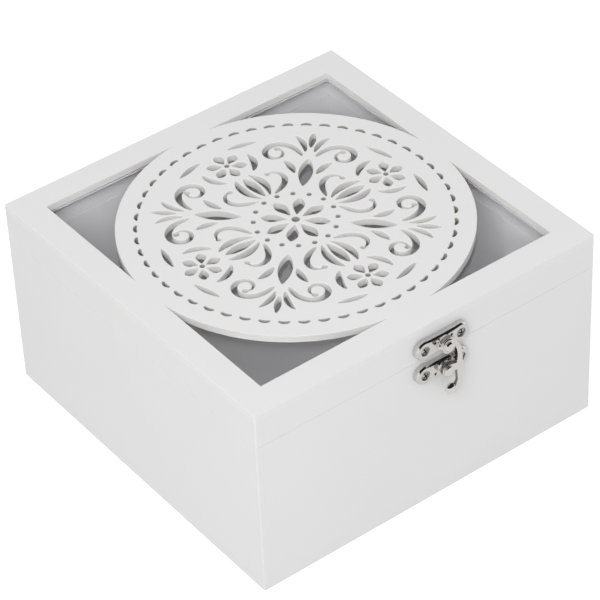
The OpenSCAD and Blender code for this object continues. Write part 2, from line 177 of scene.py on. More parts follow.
def moved_inward(loop: Loop, distance: float, factors: Sequence[float] = ()) -> Loop:
    """Moves a polygon to its left by a distance.

    Args:
        loop: The polygon, with the material on its left.
        distance: How far to move it into the material.
        factors: Factor on the distance at each point, where it changes along the line.

    Returns:
        A polygon with as many points.
    """
    count = len(loop)
    moved: Loop = []
    for i, factor in enumerate(factors or [1.0] * count):
        a, b, c = Vector(loop[i - 1]), Vector(loop[i]), Vector(loop[(i + 1) % count])
        one, two = (b - a).normalized(), (c - b).normalized()
        left_one, left_two = Vector((-one.y, one.x)), Vector((-two.y, two.x))
        mitre = (left_one + left_two) * (distance * factor / max(1.0 + left_one.dot(left_two), 0.5))
        moved.append((b.x + mitre.x, b.y + mitre.y))
    return moved


def outline_field(loop: Loop) -> Field:
    """Signed distance to a polygon, negative inside it."""
    starts = np.array(loop)
    spans = np.roll(starts, -1, axis=0) - starts

    def distance(x: np.ndarray, y: np.ndarray) -> np.ndarray:
        """Signed distance at each place."""
        best = np.full(x.shape, FAR)
        inside = np.zeros(x.shape, dtype=bool)
        for (px, py), (dx, dy) in zip(starts, spans):
            share = np.clip(((x - px) * dx + (y - py) * dy) / max(dx * dx + dy * dy, TINY_SQUARE), 0, 1)
            best = np.minimum(best, np.hypot(x - px - share * dx, y - py - share * dy))
            if dy != 0:
                crosses = ((y >= py) != (y >= py + dy)) & (x < px + (y - py) * dx / dy)
                inside ^= crosses
        return np.where(inside, -best, best)

    return distance


def blended(one: np.ndarray, two: np.ndarray, soft: float) -> np.ndarray:
    """Union of two distances with a fillet of about the given radius."""
    share = np.clip(0.5 + 0.5 * (two - one) / soft, 0, 1)
    return two * (1 - share) + one * share - soft * share * (1 - share)


def contours(
    distance: Field, box: tuple[float, float, float, float], step: float, level: float = 0.0
) -> list[Loop]:
    """Draws the closed lines on which a field has one value.

    Args:
        distance: The field.
        box: Lowest x, highest x, lowest y and highest y, outside all lines.
        step: Spacing of the samples.
        level: The value to draw.

    Returns:
        Closed polygons.
    """
    xs = np.arange(box[0], box[1] + step, step)
    ys = np.arange(box[2], box[3] + step, step)
    grid_x, grid_y = np.meshgrid(xs, ys)
    value = distance(grid_x, grid_y) - level
    value[value == 0] = TINY
    links: dict[tuple[int, int, int], list[tuple[int, int, int]]] = {}
    places: dict[tuple[int, int, int], Point] = {}

    def crossing(row: int, col: int, upright: int) -> tuple[int, int, int]:
        """Name and place of the crossing on one grid edge."""
        name = (row, col, upright)
        if name not in places:
            other = (row + upright, col + 1 - upright)
            low, high = value[row, col], value[other]
            share = low / (low - high)
            places[name] = (
                xs[col] + share * (xs[other[1]] - xs[col]),
                ys[row] + share * (ys[other[0]] - ys[row]),
            )
        return name

    signs = value < 0
    mixed = signs[:-1, :-1].astype(int) + signs[1:, :-1] + signs[:-1, 1:] + signs[1:, 1:]
    for row, col in zip(*np.nonzero((mixed > 0) & (mixed < 4))):
        edges = []
        if signs[row, col] != signs[row, col + 1]:
            edges.append(crossing(row, col, 0))
        if signs[row, col + 1] != signs[row + 1, col + 1]:
            edges.append(crossing(row, col + 1, 1))
        if signs[row + 1, col] != signs[row + 1, col + 1]:
            edges.append(crossing(row + 1, col, 0))
        if signs[row, col] != signs[row + 1, col]:
            edges.append(crossing(row, col, 1))
        for one, two in zip(edges[::2], edges[1::2]):
            links.setdefault(one, []).append(two)
            links.setdefault(two, []).append(one)
    loops: list[Loop] = []
    while links:
        start = next(iter(links))
        walk, here = [start], start
        while links.get(here):
            there = links[here].pop()
            links[there].remove(here)
            if there == start:
                break
            walk.append(there)
            here = there
        links = {name: ends for name, ends in links.items() if ends}
        loops.append([places[name] for name in walk])
    return loops


def evenly_spaced(loop: Loop, spacing: float) -> Loop:
    """Places points along a closed line at an even spacing.

    Args:
        loop: The closed line.
        spacing: Wanted distance between points.

    Returns:
        The new points.
    """
    points = np.array(loop + loop[:1])
    runs = np.concatenate([[0.0], np.cumsum(np.hypot(*np.diff(points, axis=0).T))])
    count = max(int(runs[-1] / spacing), 8)
    stations = np.linspace(0, runs[-1], count, endpoint=False)
    return list(zip(np.interp(stations, runs, points[:, 0]), np.interp(stations, runs, points[:, 1])))


# ---- Mesh work ----


def lathe(mesh: Mesh, profile: Sequence[Point], place: Matrix, sides: int) -> None:
    """Turns a profile about its local Z axis.

    Args:
        mesh: Mesh that receives the solid.
        profile: Points as (radius, height), from one end of the axis to the other.
        place: Where the local frame lies.
        sides: Facets round the axis.
    """
    rings = []
    for radius, height in profile:
        if radius <= 0:
            rings.append([mesh.verts.new(place @ Vector((0, 0, height)))] * sides)
        else:
            circle = ring_points((0.0, 0.0), radius, sides)
            rings.append([mesh.verts.new(place @ Vector((x, y, height))) for x, y in circle])
    for lower, upper in zip(rings, rings[1:]):
        for k in range(sides):
            corners = [lower[k], lower[(k + 1) % sides], upper[(k + 1) % sides], upper[k]]
            unique = list(dict.fromkeys(corners))
            if len(unique) > 2:
                mesh.faces.new(unique)


def raise_wall(
    mesh: Mesh,
    line: Loop,
    profile: Sequence[Point],
    place: Matrix,
    finish: int = 0,
    factors: Sequence[float] = (),
) -> list[list[Vertex]]:
    """Raises a wall on a closed line.

    Args:
        mesh: Mesh that receives it.
        line: The closed line, with the material on its left.
        profile: Each level as (distance into the material, height), from below.
        place: Where the local frame lies.
        finish: Index of the material.
        factors: Factor on the distances at each point of the line.

    Returns:
        The vertices of each level.
    """
    rings = []
    for distance, height in profile:
        ring = moved_inward(line, distance, factors) if distance else line
        rings.append([mesh.verts.new(place @ Vector((x, y, height))) for x, y in ring])
    count = len(line)
    for lower, upper in zip(rings, rings[1:]):
        for k in range(count):
            face = mesh.faces.new([lower[k], lower[(k + 1) % count], upper[(k + 1) % count], upper[k]])
            face.material_index = finish
    return rings


def rim_edges(mesh: Mesh, ring: Sequence[Vertex]) -> list[Edge]:
    """The edges along one level of a wall."""
    return [mesh.edges.get((ring[k - 1], ring[k])) for k in range(len(ring))]


def fill_flat(mesh: Mesh, edges: Sequence[Edge], place: Matrix, hand: int = 1) -> None:
    """Fills the flat region between closed lines.

    Args:
        mesh: Mesh that holds them.
        edges: Edges of all the lines.
        place: Where the local frame lies.
        hand: 1 where the face looks along the frame's Z, -1 where it looks back.
    """
    normal = hand * (place.to_3x3() @ Vector((0, 0, 1)))
    bmesh.ops.triangle_fill(mesh, use_beauty=True, edges=edges, normal=normal)


@dataclass
class CutSheet:
    """A flat piece with holes, whose arrises are rounded.

    Attributes:
        loops: Outer line first, then the holes.
        low: Height of its lower face.
        high: Height of its upper face.
        upper_round: Radius of the upper arris.
        lower_round: Radius of the lower arris.
        steps: Segments in the upper arris.
        lower_steps: Segments in the lower arris.
        square_rim: Whether the outer line has no lower arris.
    """

    loops: list[Loop]
    low: float
    high: float
    upper_round: float
    lower_round: float = 0.0
    steps: int = 3
    lower_steps: int = 2
    square_rim: bool = False

    @staticmethod
    def quarter(steps: int) -> list[float]:
        """Angles from 0 to 90 degrees in a number of steps, in radians."""
        return [math.radians(90 * k / steps) for k in range(steps + 1)]

    def foot(self) -> list[Point]:
        """Steps of the lower arris as (distance into the material, height), from below."""
        r = self.lower_round
        if r <= 0:
            return [(0.0, self.low)]
        turns = self.quarter(self.lower_steps)
        return [(r * (1 - math.sin(a)), self.low + r * (1 - math.cos(a))) for a in turns]

    def head(self) -> list[Point]:
        """Steps of the upper arris, in the same way."""
        r = self.upper_round
        if r <= 0:
            return [(0.0, self.high)]
        turns = self.quarter(self.steps)
        return [(r * (1 - math.cos(a)), self.high - r * (1 - math.sin(a))) for a in turns]

    def build(
        self, mesh: Mesh, place: Matrix, finish_of: Callable[[int], tuple[int, int]] = lambda _: (0, 0)
    ) -> None:
        """Adds the piece to a mesh.

        Args:
            mesh: Mesh that receives it.
            place: Where the local frame lies.
            finish_of: Gives the material indices of each loop's wall and of its lower arris.
        """
        lower: list[Edge] = []
        upper: list[Edge] = []
        for number, loop in enumerate(self.loops):
            foot = [(0.0, self.low)] if number == 0 and self.square_rim else self.foot()
            line = oriented(loop, number == 0)
            wall, arris = finish_of(number)
            rings = raise_wall(mesh, line, foot[-1:] + self.head(), place, wall)
            upper += rim_edges(mesh, rings[-1])
            if len(foot) > 1:
                rings = raise_wall(mesh, line, foot, place, arris)
            lower += rim_edges(mesh, rings[0])
        fill_flat(mesh, upper, place)
        fill_flat(mesh, lower, place, -1)


def place_piece(
    name: str,
    mesh: Mesh,
    finishes: Sequence["Finish"],
    body: Body,
    nodes: Iterable[str],
    sharp: float = 40.0,
) -> bpy.types.Object:
    """Makes an object of a mesh and sets it on the body that carries it.

    Args:
        name: Name of the piece.
        mesh: Its mesh, which is freed.
        finishes: Its finishes, in the order of their indices.
        body: The body that carries it.
        nodes: Solids that it stands for.
        sharp: Angle in degrees above which an edge stays sharp.

    Returns:
        The new object.
    """
    bmesh.ops.remove_doubles(mesh, verts=mesh.verts[:], dist=1e-7)
    bmesh.ops.recalc_face_normals(mesh, faces=mesh.faces[:])
    data = bpy.data.meshes.new(name)
    mesh.to_mesh(data)
    mesh.free()
    data.shade_smooth()
    data.set_sharp_from_angle(angle=math.radians(sharp))
    for finish in finishes:
        data.materials.append(finish.material())
    piece = bpy.data.objects.new(name, data)
    bpy.context.collection.objects.link(piece)
    shading = piece.modifiers.new("flat_faces_stay_flat", "WEIGHTED_NORMAL")
    shading.keep_sharp = True
    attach(piece, body.value)
    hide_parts(*nodes)
    log.info("%s: %d faces on %s", name, len(data.polygons), body.value)
    return piece


# ---- Shader effects shared by the finishes ----


class NodeSheet:
    """Short ways to add and join nodes in one node tree."""

    def __init__(self, tree: Tree) -> None:
        """Keeps the tree that is written to."""
        self.tree = tree

    def add(self, kind: str, **settings: object) -> Node:
        """Adds a node.

        Args:
            kind: Node type.
            **settings: Properties of the node.

        Returns:
            The node.
        """
        node = self.tree.nodes.new(kind)
        for name, value in settings.items():
            setattr(node, name, value)
        return node

    def join(self, source: Socket, target: Socket) -> None:
        """Joins an output to an input."""
        self.tree.links.new(source, target)

    def feed(self, target: Socket, value: object) -> None:
        """Joins an output to an input, or sets the input to a plain value.

        Args:
            target: The input.
            value: An output, or what the input is set to.
        """
        if isinstance(value, Socket):
            self.join(value, target)
        else:
            target.default_value = value

    def math(self, operation: str, *values: object) -> Socket:
        """Adds a Math node.

        Args:
            operation: Its operation.
            *values: A number or an output for each input.

        Returns:
            The result.
        """
        node = self.add("ShaderNodeMath", operation=operation)
        for socket, value in zip(node.inputs, values):
            self.feed(socket, value)
        return node.outputs[0]

    def noise(self, where: Socket, scale: object, detail: float, rough: float) -> Socket:
        """Adds a Noise Texture.

        Args:
            where: Coordinates.
            scale: A number or an output.
            detail: Octaves.
            rough: Weight of the finer octaves.

        Returns:
            Its value.
        """
        node = self.add("ShaderNodeTexNoise")
        for name, value in (("Vector", where), ("Scale", scale), ("Detail", detail), ("Roughness", rough)):
            self.feed(node.inputs[name], value)
        return node.outputs["Fac"]

    def blend(self, share: object, one: object, two: object) -> Socket:
        """Adds a colour Mix node.

        Args:
            share: A number or an output.
            one: First colour, as four numbers or an output.
            two: Second colour, as four numbers or an output.

        Returns:
            The mixed colour.
        """
        node = self.add("ShaderNodeMix", data_type="RGBA")
        for number, value in ((0, share), (6, one), (7, two)):
            self.feed(node.inputs[number], value)
        return node.outputs[2]

    def choose(self, share: object, one: object, two: object) -> Socket:
        """Adds a number Mix node.

        Args:
            share: A number or an output.
            one: The value where the share is 0, as a number or an output.
            two: The value where the share is 1, as a number or an output.

        Returns:
            The mixed value.
        """
        node = self.add("ShaderNodeMix", data_type="FLOAT")
        for number, value in ((0, share), (2, one), (3, two)):
            self.feed(node.inputs[number], value)
        return node.outputs[0]


@dataclass
class EffectGroup:
    """A shader node group with named inputs and outputs.

    Attributes:
        name: Name of the group.
        inputs: Name, socket type and default of each input.
        outputs: Name and socket type of each output.
        draw: Writes the nodes between them.
    """

    name: str
    inputs: list[tuple[str, str, object]]
    outputs: list[tuple[str, str]]
    draw: Callable[[NodeSheet, Node, Node], None]

    def tree(self) -> Tree:
        """Builds the group once and gives it back."""
        known = bpy.data.node_groups.get(self.name)
        if known:
            return known
        tree = bpy.data.node_groups.new(self.name, "ShaderNodeTree")
        for name, kind, value in self.inputs:
            socket = tree.interface.new_socket(name, in_out="INPUT", socket_type=kind)
            socket.default_value = value
        for name, kind in self.outputs:
            tree.interface.new_socket(name, in_out="OUTPUT", socket_type=kind)
        sheet = NodeSheet(tree)
        self.draw(sheet, sheet.add("NodeGroupInput"), sheet.add("NodeGroupOutput"))
        return tree

    def place(self, sheet: NodeSheet, **values: object) -> Node:
        """Places the group in a material.

        Args:
            sheet: Node tree of the material.
            **values: Input values by name, with underscores for spaces.

        Returns:
            The group's node.
        """
        node = sheet.add("ShaderNodeGroup", node_tree=self.tree())
        for name, value in values.items():
            node.inputs[name.replace("_", " ")].default_value = value
        return node


def draw_paint_film(sheet: NodeSheet, given: Node, result: Node) -> None:
    """Draws sprayed paint: cloudy tone, fine stipple and small changes of sheen.

    Args:
        sheet: The group's node tree.
        given: Its inputs.
        result: Its outputs.
    """
    middle, sheen_swing, stipple_part, cloud_part = 0.5, 0.16, 0.7, 0.6
    where = sheet.add("ShaderNodeTexCoord").outputs["Object"]
    cloud = sheet.noise(where, given.outputs["Cloud Scale"], detail=4.0, rough=0.55)
    stipple = sheet.noise(where, given.outputs["Stipple Scale"], detail=2.0, rough=0.6)
    balance = sheet.math("SUBTRACT", cloud, middle)
    swing = sheet.math("MULTIPLY", balance, given.outputs["Cloud Strength"])
    share = sheet.math("ADD", swing, middle)
    sheet.join(sheet.blend(share, given.outputs["Shade"], given.outputs["Tone"]), result.inputs["Colour"])
    change = sheet.math("MULTIPLY", balance, sheen_swing)
    sheet.join(sheet.math("ADD", given.outputs["Sheen"], change), result.inputs["Roughness"])
    grain = sheet.math("MULTIPLY", stipple, stipple_part)
    waves = sheet.math("MULTIPLY", cloud, cloud_part)
    sheet.join(sheet.math("ADD", grain, waves), result.inputs["Height"])


def draw_handled_metal(sheet: NodeSheet, given: Node, result: Node) -> None:
    """Draws plated metal: soft smudges that dull it, and fine lines in one direction.

    Args:
        sheet: The group's node tree.
        given: Its inputs.
        result: Its outputs.
    """
    line_scale, smudge_scale = 900.0, 260.0
    coordinates = sheet.add("ShaderNodeTexCoord").outputs["Object"]
    stretch = sheet.add("ShaderNodeMapping")
    sheet.join(coordinates, stretch.inputs["Vector"])
    sheet.join(given.outputs["Line Stretch"], stretch.inputs["Scale"])
    lines = sheet.noise(stretch.outputs["Vector"], line_scale, detail=2.0, rough=0.6)
    smudge = sheet.noise(coordinates, smudge_scale, detail=4.0, rough=0.6)
    dull = sheet.math("MULTIPLY", smudge, given.outputs["Smudge"])
    sheet.join(sheet.math("ADD", given.outputs["Sheen"], dull), result.inputs["Roughness"])
    sheet.join(sheet.blend(smudge, given.outputs["Tone"], given.outputs["Shade"]), result.inputs["Colour"])
    sheet.join(sheet.math("MULTIPLY", lines, given.outputs["Line Depth"]), result.inputs["Height"])


COLOUR, NUMBER, DIRECTION = "NodeSocketColor", "NodeSocketFloat", "NodeSocketVector"
DRESSED = [("Colour", COLOUR), ("Roughness", NUMBER), ("Height", NUMBER)]

PAINT_FILM = EffectGroup(
    "paint_film",
    [
        ("Tone", COLOUR, (0.8, 0.8, 0.8, 1)),
        ("Shade", COLOUR, (0.76, 0.76, 0.75, 1)),
        ("Sheen", NUMBER, 0.4),
        ("Cloud Scale", NUMBER, 18.0),
        ("Cloud Strength", NUMBER, 1.4),
        ("Stipple Scale", NUMBER, 1400.0),
    ],
    DRESSED,
    draw_paint_film,
)

HANDLED_METAL = EffectGroup(
    "handled_metal",
    [
        ("Tone", COLOUR, (0.8, 0.78, 0.75, 1)),
        ("Shade", COLOUR, (0.7, 0.68, 0.65, 1)),
        ("Sheen", NUMBER, 0.1),
        ("Smudge", NUMBER, 0.1),
        ("Line Depth", NUMBER, 0.2),
        ("Line Stretch", DIRECTION, (0.1, 1.0, 1.0)),
    ],
    DRESSED,
    draw_handled_metal,
)


# ---- Finishes ----


@dataclass(frozen=True)
class Finish:
    """A surface finish that makes its material once.

    Attributes:
        name: Name of the material.
    """

    name: str

    def material(self) -> bpy.types.Material:
        """The finish's material, made when it is first asked for."""
        known = bpy.data.materials.get(self.name)
        if known:
            return known
        made = bpy.data.materials.new(self.name)
        made.use_nodes = True
        made.node_tree.nodes.clear()
        sheet = NodeSheet(made.node_tree)
        output = sheet.add("ShaderNodeOutputMaterial")
        self.draw(sheet, output)
        return made

    def draw(self, sheet: NodeSheet, output: Node) -> None:
        """Writes the material's nodes.

        Args:
            sheet: The material's node tree.
            output: Its output node.
        """
        raise NotImplementedError

    @staticmethod
    def dress(sheet: NodeSheet, output: Node, effect: Node, depth: float, **values: float) -> None:
        """Adds a Principled shader that an effect group feeds.

        Args:
            sheet: The material's node tree.
            output: Its output node.
            effect: Node with Colour, Roughness and Height.
            depth: Distance of the bump in metres.
            **values: Other inputs of the shader.
        """
        shader = sheet.add("ShaderNodeBsdfPrincipled")
        for name, value in values.items():
            shader.inputs[name].default_value = value
        sheet.join(effect.outputs["Colour"], shader.inputs["Base Color"])
        sheet.join(effect.outputs["Roughness"], shader.inputs["Roughness"])
        bump = sheet.add("ShaderNodeBump")
        bump.inputs["Distance"].default_value = depth
        bump.inputs["Strength"].default_value = 1.0
        sheet.join(effect.outputs["Height"], bump.inputs["Height"])
        sheet.join(bump.outputs["Normal"], shader.inputs["Normal"])
        sheet.join(shader.outputs["BSDF"], output.inputs["Surface"])


@dataclass(frozen=True)
class SatinPaint(Finish):
    """Satin white paint sprayed on smooth board.

    Attributes:
        tone: Colour of the paint where it is thick.
        shade: Colour where it is thinner.
        sheen: Roughness of its surface.
        stipple: Height of the spray's stipple.
    """

    tone: tuple[float, float, float] = (0.79, 0.79, 0.79)
    shade: tuple[float, float, float] = (0.765, 0.765, 0.762)
    sheen: float = 0.42
    stipple: float = 0.02 * MM

    def draw(self, sheet: NodeSheet, output: Node) -> None:
        """Writes the paint's nodes."""
        film = PAINT_FILM.place(sheet, Tone=(*self.tone, 1), Shade=(*self.shade, 1), Sheen=self.sheen)
        self.dress(sheet, output, film, self.stipple, IOR=1.48)


@dataclass(frozen=True)
class FloatGlass(Finish):
    """Clear float glass, thin enough for lamps to shine through.

    Attributes:
        tint: Colour that the glass gives to what lies behind it.
        clear: Its colour where it is clearest.
        film: Roughness where the wiped film on it is thickest.
        film_scale: Fineness of the film's clouds.
    """

    tint: tuple[float, float, float] = (0.975, 0.975, 0.995)
    clear: tuple[float, float, float] = (0.985, 0.98, 1.0)
    film: float = 0.03
    film_scale: float = 30.0

    def draw(self, sheet: NodeSheet, output: Node) -> None:
        """Writes the glass's nodes."""
        where = sheet.add("ShaderNodeTexCoord").outputs["Object"]
        haze = sheet.noise(where, self.film_scale, detail=3.0, rough=0.5)
        shader = sheet.add("ShaderNodeBsdfPrincipled")
        tint = sheet.blend(haze, (*self.tint, 1), (*self.clear, 1))
        sheet.join(tint, shader.inputs["Base Color"])
        sheet.join(sheet.math("MULTIPLY", haze, self.film), shader.inputs["Roughness"])
        shader.inputs["Transmission Weight"].default_value = 1.0
        shader.inputs["IOR"].default_value = 1.5
        clear = sheet.add("ShaderNodeBsdfTransparent")
        clear.inputs["Color"].default_value = (*self.tint, 1)
        path = sheet.add("ShaderNodeLightPath")
        mix = sheet.add("ShaderNodeMixShader")
        sheet.join(path.outputs["Is Shadow Ray"], mix.inputs["Fac"])
        sheet.join(shader.outputs["BSDF"], mix.inputs[1])
        sheet.join(clear.outputs["BSDF"], mix.inputs[2])
        sheet.join(mix.outputs["Shader"], output.inputs["Surface"])


@dataclass(frozen=True)
class PlatedMetal(Finish):
    """Metal plated bright or brushed.

    Attributes:
        tone: Colour of the clean plating.
        shade: Colour where fingers and air have dulled it.
        sheen: Roughness of the clean plating.
        smudge: Roughness that smudges add.
        line_depth: Weight of the fine lines.
        line_stretch: How the lines run, as a scale on each axis.
        relief: Height of the lines at full weight.
    """

    tone: tuple[float, float, float] = (0.78, 0.75, 0.71)
    shade: tuple[float, float, float] = (0.66, 0.635, 0.6)
    sheen: float = 0.1
    smudge: float = 0.14
    line_depth: float = 0.12
    line_stretch: tuple[float, float, float] = (0.15, 1.0, 1.0)
    relief: float = 0.01 * MM

    def draw(self, sheet: NodeSheet, output: Node) -> None:
        """Writes the metal's nodes."""
        surface = HANDLED_METAL.place(
            sheet,
            Tone=(*self.tone, 1),
            Shade=(*self.shade, 1),
            Sheen=self.sheen,
            Smudge=self.smudge,
            Line_Depth=self.line_depth,
            Line_Stretch=self.line_stretch,
        )
        self.dress(sheet, output, surface, self.relief, Metallic=1.0)


@dataclass(frozen=True)
class StudioFloor(Finish):
    """White floor that keeps the box's shadow and otherwise runs into the background.

    Attributes:
        colour: Its colour.
        lift: What the camera sees added to it, which makes it white.
        shine: What reflections see added to it.
    """

    colour: float = 0.8
    lift: float = 0.5
    shine: float = 0.06

    def draw(self, sheet: NodeSheet, output: Node) -> None:
        """Writes the floor's nodes."""
        plain = sheet.add("ShaderNodeBsdfDiffuse")
        plain.inputs["Color"].default_value = (self.colour, self.colour, self.colour, 1)
        glow = sheet.add("ShaderNodeEmission")
        path = sheet.add("ShaderNodeLightPath")
        seen = sheet.math("MAXIMUM", path.outputs["Is Camera Ray"], path.outputs["Is Transmission Ray"])
        seen = sheet.math("MULTIPLY", seen, self.lift)
        reflected = sheet.math("MULTIPLY", path.outputs["Is Glossy Ray"], self.shine)
        sheet.join(sheet.math("MAXIMUM", seen, reflected), glow.inputs["Strength"])
        both = sheet.add("ShaderNodeAddShader")
        sheet.join(plain.outputs["BSDF"], both.inputs[0])
        sheet.join(glow.outputs["Emission"], both.inputs[1])
        sheet.join(both.outputs["Shader"], output.inputs["Surface"])


BOARD_PAINT = SatinPaint("satin_white_board")
BASE_PAINT = SatinPaint("matt_white_base", (0.76, 0.76, 0.755), (0.73, 0.73, 0.725), 0.6, 0.03 * MM)
SHEET_PAINT = SatinPaint("satin_white_sheet", (0.8, 0.8, 0.8), (0.78, 0.78, 0.778), 0.38)
# Warm off-white of the painted cut edges, made lighter than the face paint as painted light on the cut
# walls.
CUT_EDGE_TONE_AND_LIGHT = SatinPaint("cut_edge_tone_with_painted_light", (0.84, 0.835, 0.82), (0.81, 0.805, 0.785), 0.55, 0.05 * MM)
# Painted shade: the walls of small cuts are coloured dark to stand in for the shade deep inside them.
FINE_CUT_PAINTED_SHADE = SatinPaint("painted_shade_in_small_cut", (0.5, 0.49, 0.47), (0.4, 0.39, 0.37), 0.6, 0.05 * MM)
# Dark lower arris of the sheet and its cuts: browning from the cutting beam, and painted shade for the
# shadow line over the glass and in the cuts.
CHARRED_AND_SHADED_ARRIS = SatinPaint("browned_and_shaded_cut_arris", (0.16, 0.13, 0.1), (0.08, 0.065, 0.05), 0.7, 0.05 * MM)
BEAD_PAINT = SatinPaint("satin_white_bead", (0.77, 0.77, 0.765), (0.75, 0.75, 0.745), 0.5)
GLASS = FloatGlass("clear_float_glass")
NICKEL = PlatedMetal("bright_nickel", (0.74, 0.72, 0.7), (0.64, 0.62, 0.6), 0.05, 0.08, 0.1)
NICKEL_HOOK = PlatedMetal("bright_nickel_hook", (0.8, 0.77, 0.74), (0.7, 0.67, 0.64), 0.04, 0.07, 0.06)
# Painted reflection: the hook's sides get a dark nickel that stands in for the dark surroundings and shade
# they would mirror.
NICKEL_SIDE_PAINTED_DARK = PlatedMetal("nickel_side_painted_dark_reflection", (0.3, 0.28, 0.265), (0.2, 0.185, 0.175), 0.16, 0.14, 0.2)
# Painted shade: the screws' cross slots are coloured near black for the shade deep in them.
RECESS_PAINTED_SHADE = PlatedMetal("screw_recess_painted_shade", (0.06, 0.057, 0.054), (0.03, 0.028, 0.026), 0.45, 0.2, 0.3)
STEEL = PlatedMetal("brushed_steel", (0.66, 0.65, 0.63), (0.55, 0.54, 0.52), 0.25, 0.15, 0.6)
SCREW_STEEL = PlatedMetal("screw_steel", (0.72, 0.7, 0.67), (0.6, 0.58, 0.55), 0.06, 0.1, 0.2)


# ---- Case of boards ----


@dataclass
class MitredBoards:
    """Four boards round a square, mitred at their ends.

    Attributes:
        half: Distance of their outer faces from the middle.
        section: Cross-section as (depth, height, radius) corners.
        corner: Rounding of the upright corners.
        seam: Depth of the fine line where two boards meet.
        steps: Segments in half of an upright corner.
    """

    half: float
    section: list[tuple[float, float, float]]
    corner: float = 0.7 * MM
    seam: float = 0.08 * MM
    steps: int = 4

    def stations(self, depth: float) -> list[Point]:
        """Places of one line of the section towards an end.

        Args:
            depth: Distance of the line from the outer face.

        Returns:
            (distance from the board's middle, depth) at each station.
        """
        if depth >= self.corner:
            return [(self.half - depth, depth)] * (self.steps + 1)
        spoke = self.corner - depth
        turns = [math.radians(45 * k / self.steps) for k in range(self.steps + 1)]
        places = [
            (self.half - self.corner + spoke * math.sin(a), self.corner - spoke * math.cos(a)) for a in turns
        ]
        last = places[-1]
        places[-1] = (last[0] - self.seam, last[1] + self.seam)
        return places

    def board(self, side: Side) -> Mesh:
        """Builds the board on one side.

        Args:
            side: Which side.

        Returns:
            Its mesh.
        """
        mesh = bmesh.new()
        turn = Matrix.Rotation(math.radians(side.value), 4, "Z")
        rings: list[list[Vertex]] = []
        lines = [(self.stations(depth), height) for depth, height in round_corners(self.section)]
        count = len(lines[0][0])
        for hand, order in ((-1, range(count - 1, -1, -1)), (1, range(count))):
            for k in order:
                ring = []
                for places, height in lines:
                    along, depth = places[k]
                    ring.append(mesh.verts.new(turn @ Vector((hand * along, depth - self.half, height))))
                rings.append(ring)
        for one, two in zip(rings, rings[1:]):
            for k in range(len(one)):
                mesh.faces.new([one[k], one[(k + 1) % len(one)], two[(k + 1) % len(one)], two[k]])
        mesh.faces.new(rings[0])
        mesh.faces.new(rings[-1][::-1])
        return mesh


@dataclass
class CardCase:
    """The body: four boards round a base panel.

    Attributes:
        half: Half the width and depth of the box.
        height: Height of the boards.
        thick: Thickness of the boards.
        base_lap: How far the base panel is let in.
        base_thick: Thickness of the base panel.
        edge: Rounding of the boards' arrises.
    """

    half: float = 100 * MM
    height: float = 88.1 * MM
    thick: float = 9 * MM
    base_lap: float = 4.5 * MM
    base_thick: float = 3 * MM
    edge: float = 0.15 * MM

    def build(self) -> None:
        """Makes the boards, rebated for the base panel."""
        rebate = self.thick - self.base_lap
        section = [
            (0.0, 0.0, self.edge),
            (rebate, 0.0, 0.0),
            (rebate, self.base_thick, 0.0),
            (self.thick, self.base_thick, 0.0),
            (self.thick, self.height, self.edge),
            (0.0, self.height, self.edge),
        ]
        boards = MitredBoards(self.half, section)
        for side in Side:
            name, board = side.name.lower(), boards.board(side)
            place_piece(f"case_board_{name}", board, [BOARD_PAINT], Body.BODY, [f"body_{name}"])


@dataclass
class LidFrame:
    """The lid's rails and the beads that hold its pane.

    Attributes:
        half: Half the width and depth of the lid.
        low: Height of the rails' lower edge.
        height: Height of the rails.
        thick: Thickness of the rails.
        bead: Width and height of a bead.
        bead_slope: How far a bead's sloping face stands back from its square edges.
        bead_edge: Rounding of the slope's edges.
        bead_tip: Rounding of a bead's inner upper edge.
        pane_low: Height of the pane's lower face.
        edge: Rounding of the rails' lower arrises.
    """

    half: float = 100 * MM
    low: float = 88.22 * MM
    height: float = 15.48 * MM
    thick: float = 9 * MM
    bead: float = 5 * MM
    bead_slope: float = 0.8 * MM
    bead_edge: float = 0.3 * MM
    bead_tip: float = 0.1 * MM
    pane_low: float = 101.7 * MM
    edge: float = 0.15 * MM

    def build(self) -> None:
        """Makes rails and beads."""
        top = self.low + self.height
        rails = MitredBoards(
            self.half,
            [
                (0.0, self.low, self.edge),
                (self.thick, self.low, self.edge),
                (self.thick, top, 0.0),
                (0.0, top, 0.0),
            ],
        )
        bead_low, bead_top = self.pane_low - self.bead, self.pane_low - SEAT_GAP
        beads = MitredBoards(
            self.half - self.thick,
            [
                (0.0, bead_low, 0.0),
                (self.bead_slope, bead_low, self.bead_edge),
                (self.bead, bead_top - self.bead_slope, self.bead_edge),
                (self.bead, bead_top, self.bead_tip),
                (0.0, bead_top, 0.0),
            ],
            corner=0.0,
            seam=0.0,
        )
        for side in Side:
            name = side.name.lower()
            rail, bead = rails.board(side), beads.board(side)
            place_piece(f"lid_frame_{name}", rail, [BOARD_PAINT], Body.LID, [f"lid_rail_{name}"])
            place_piece(f"pane_bead_{name}", bead, [BEAD_PAINT], Body.LID, [f"bead_{name}"])


# ---- Pierced sheet ----


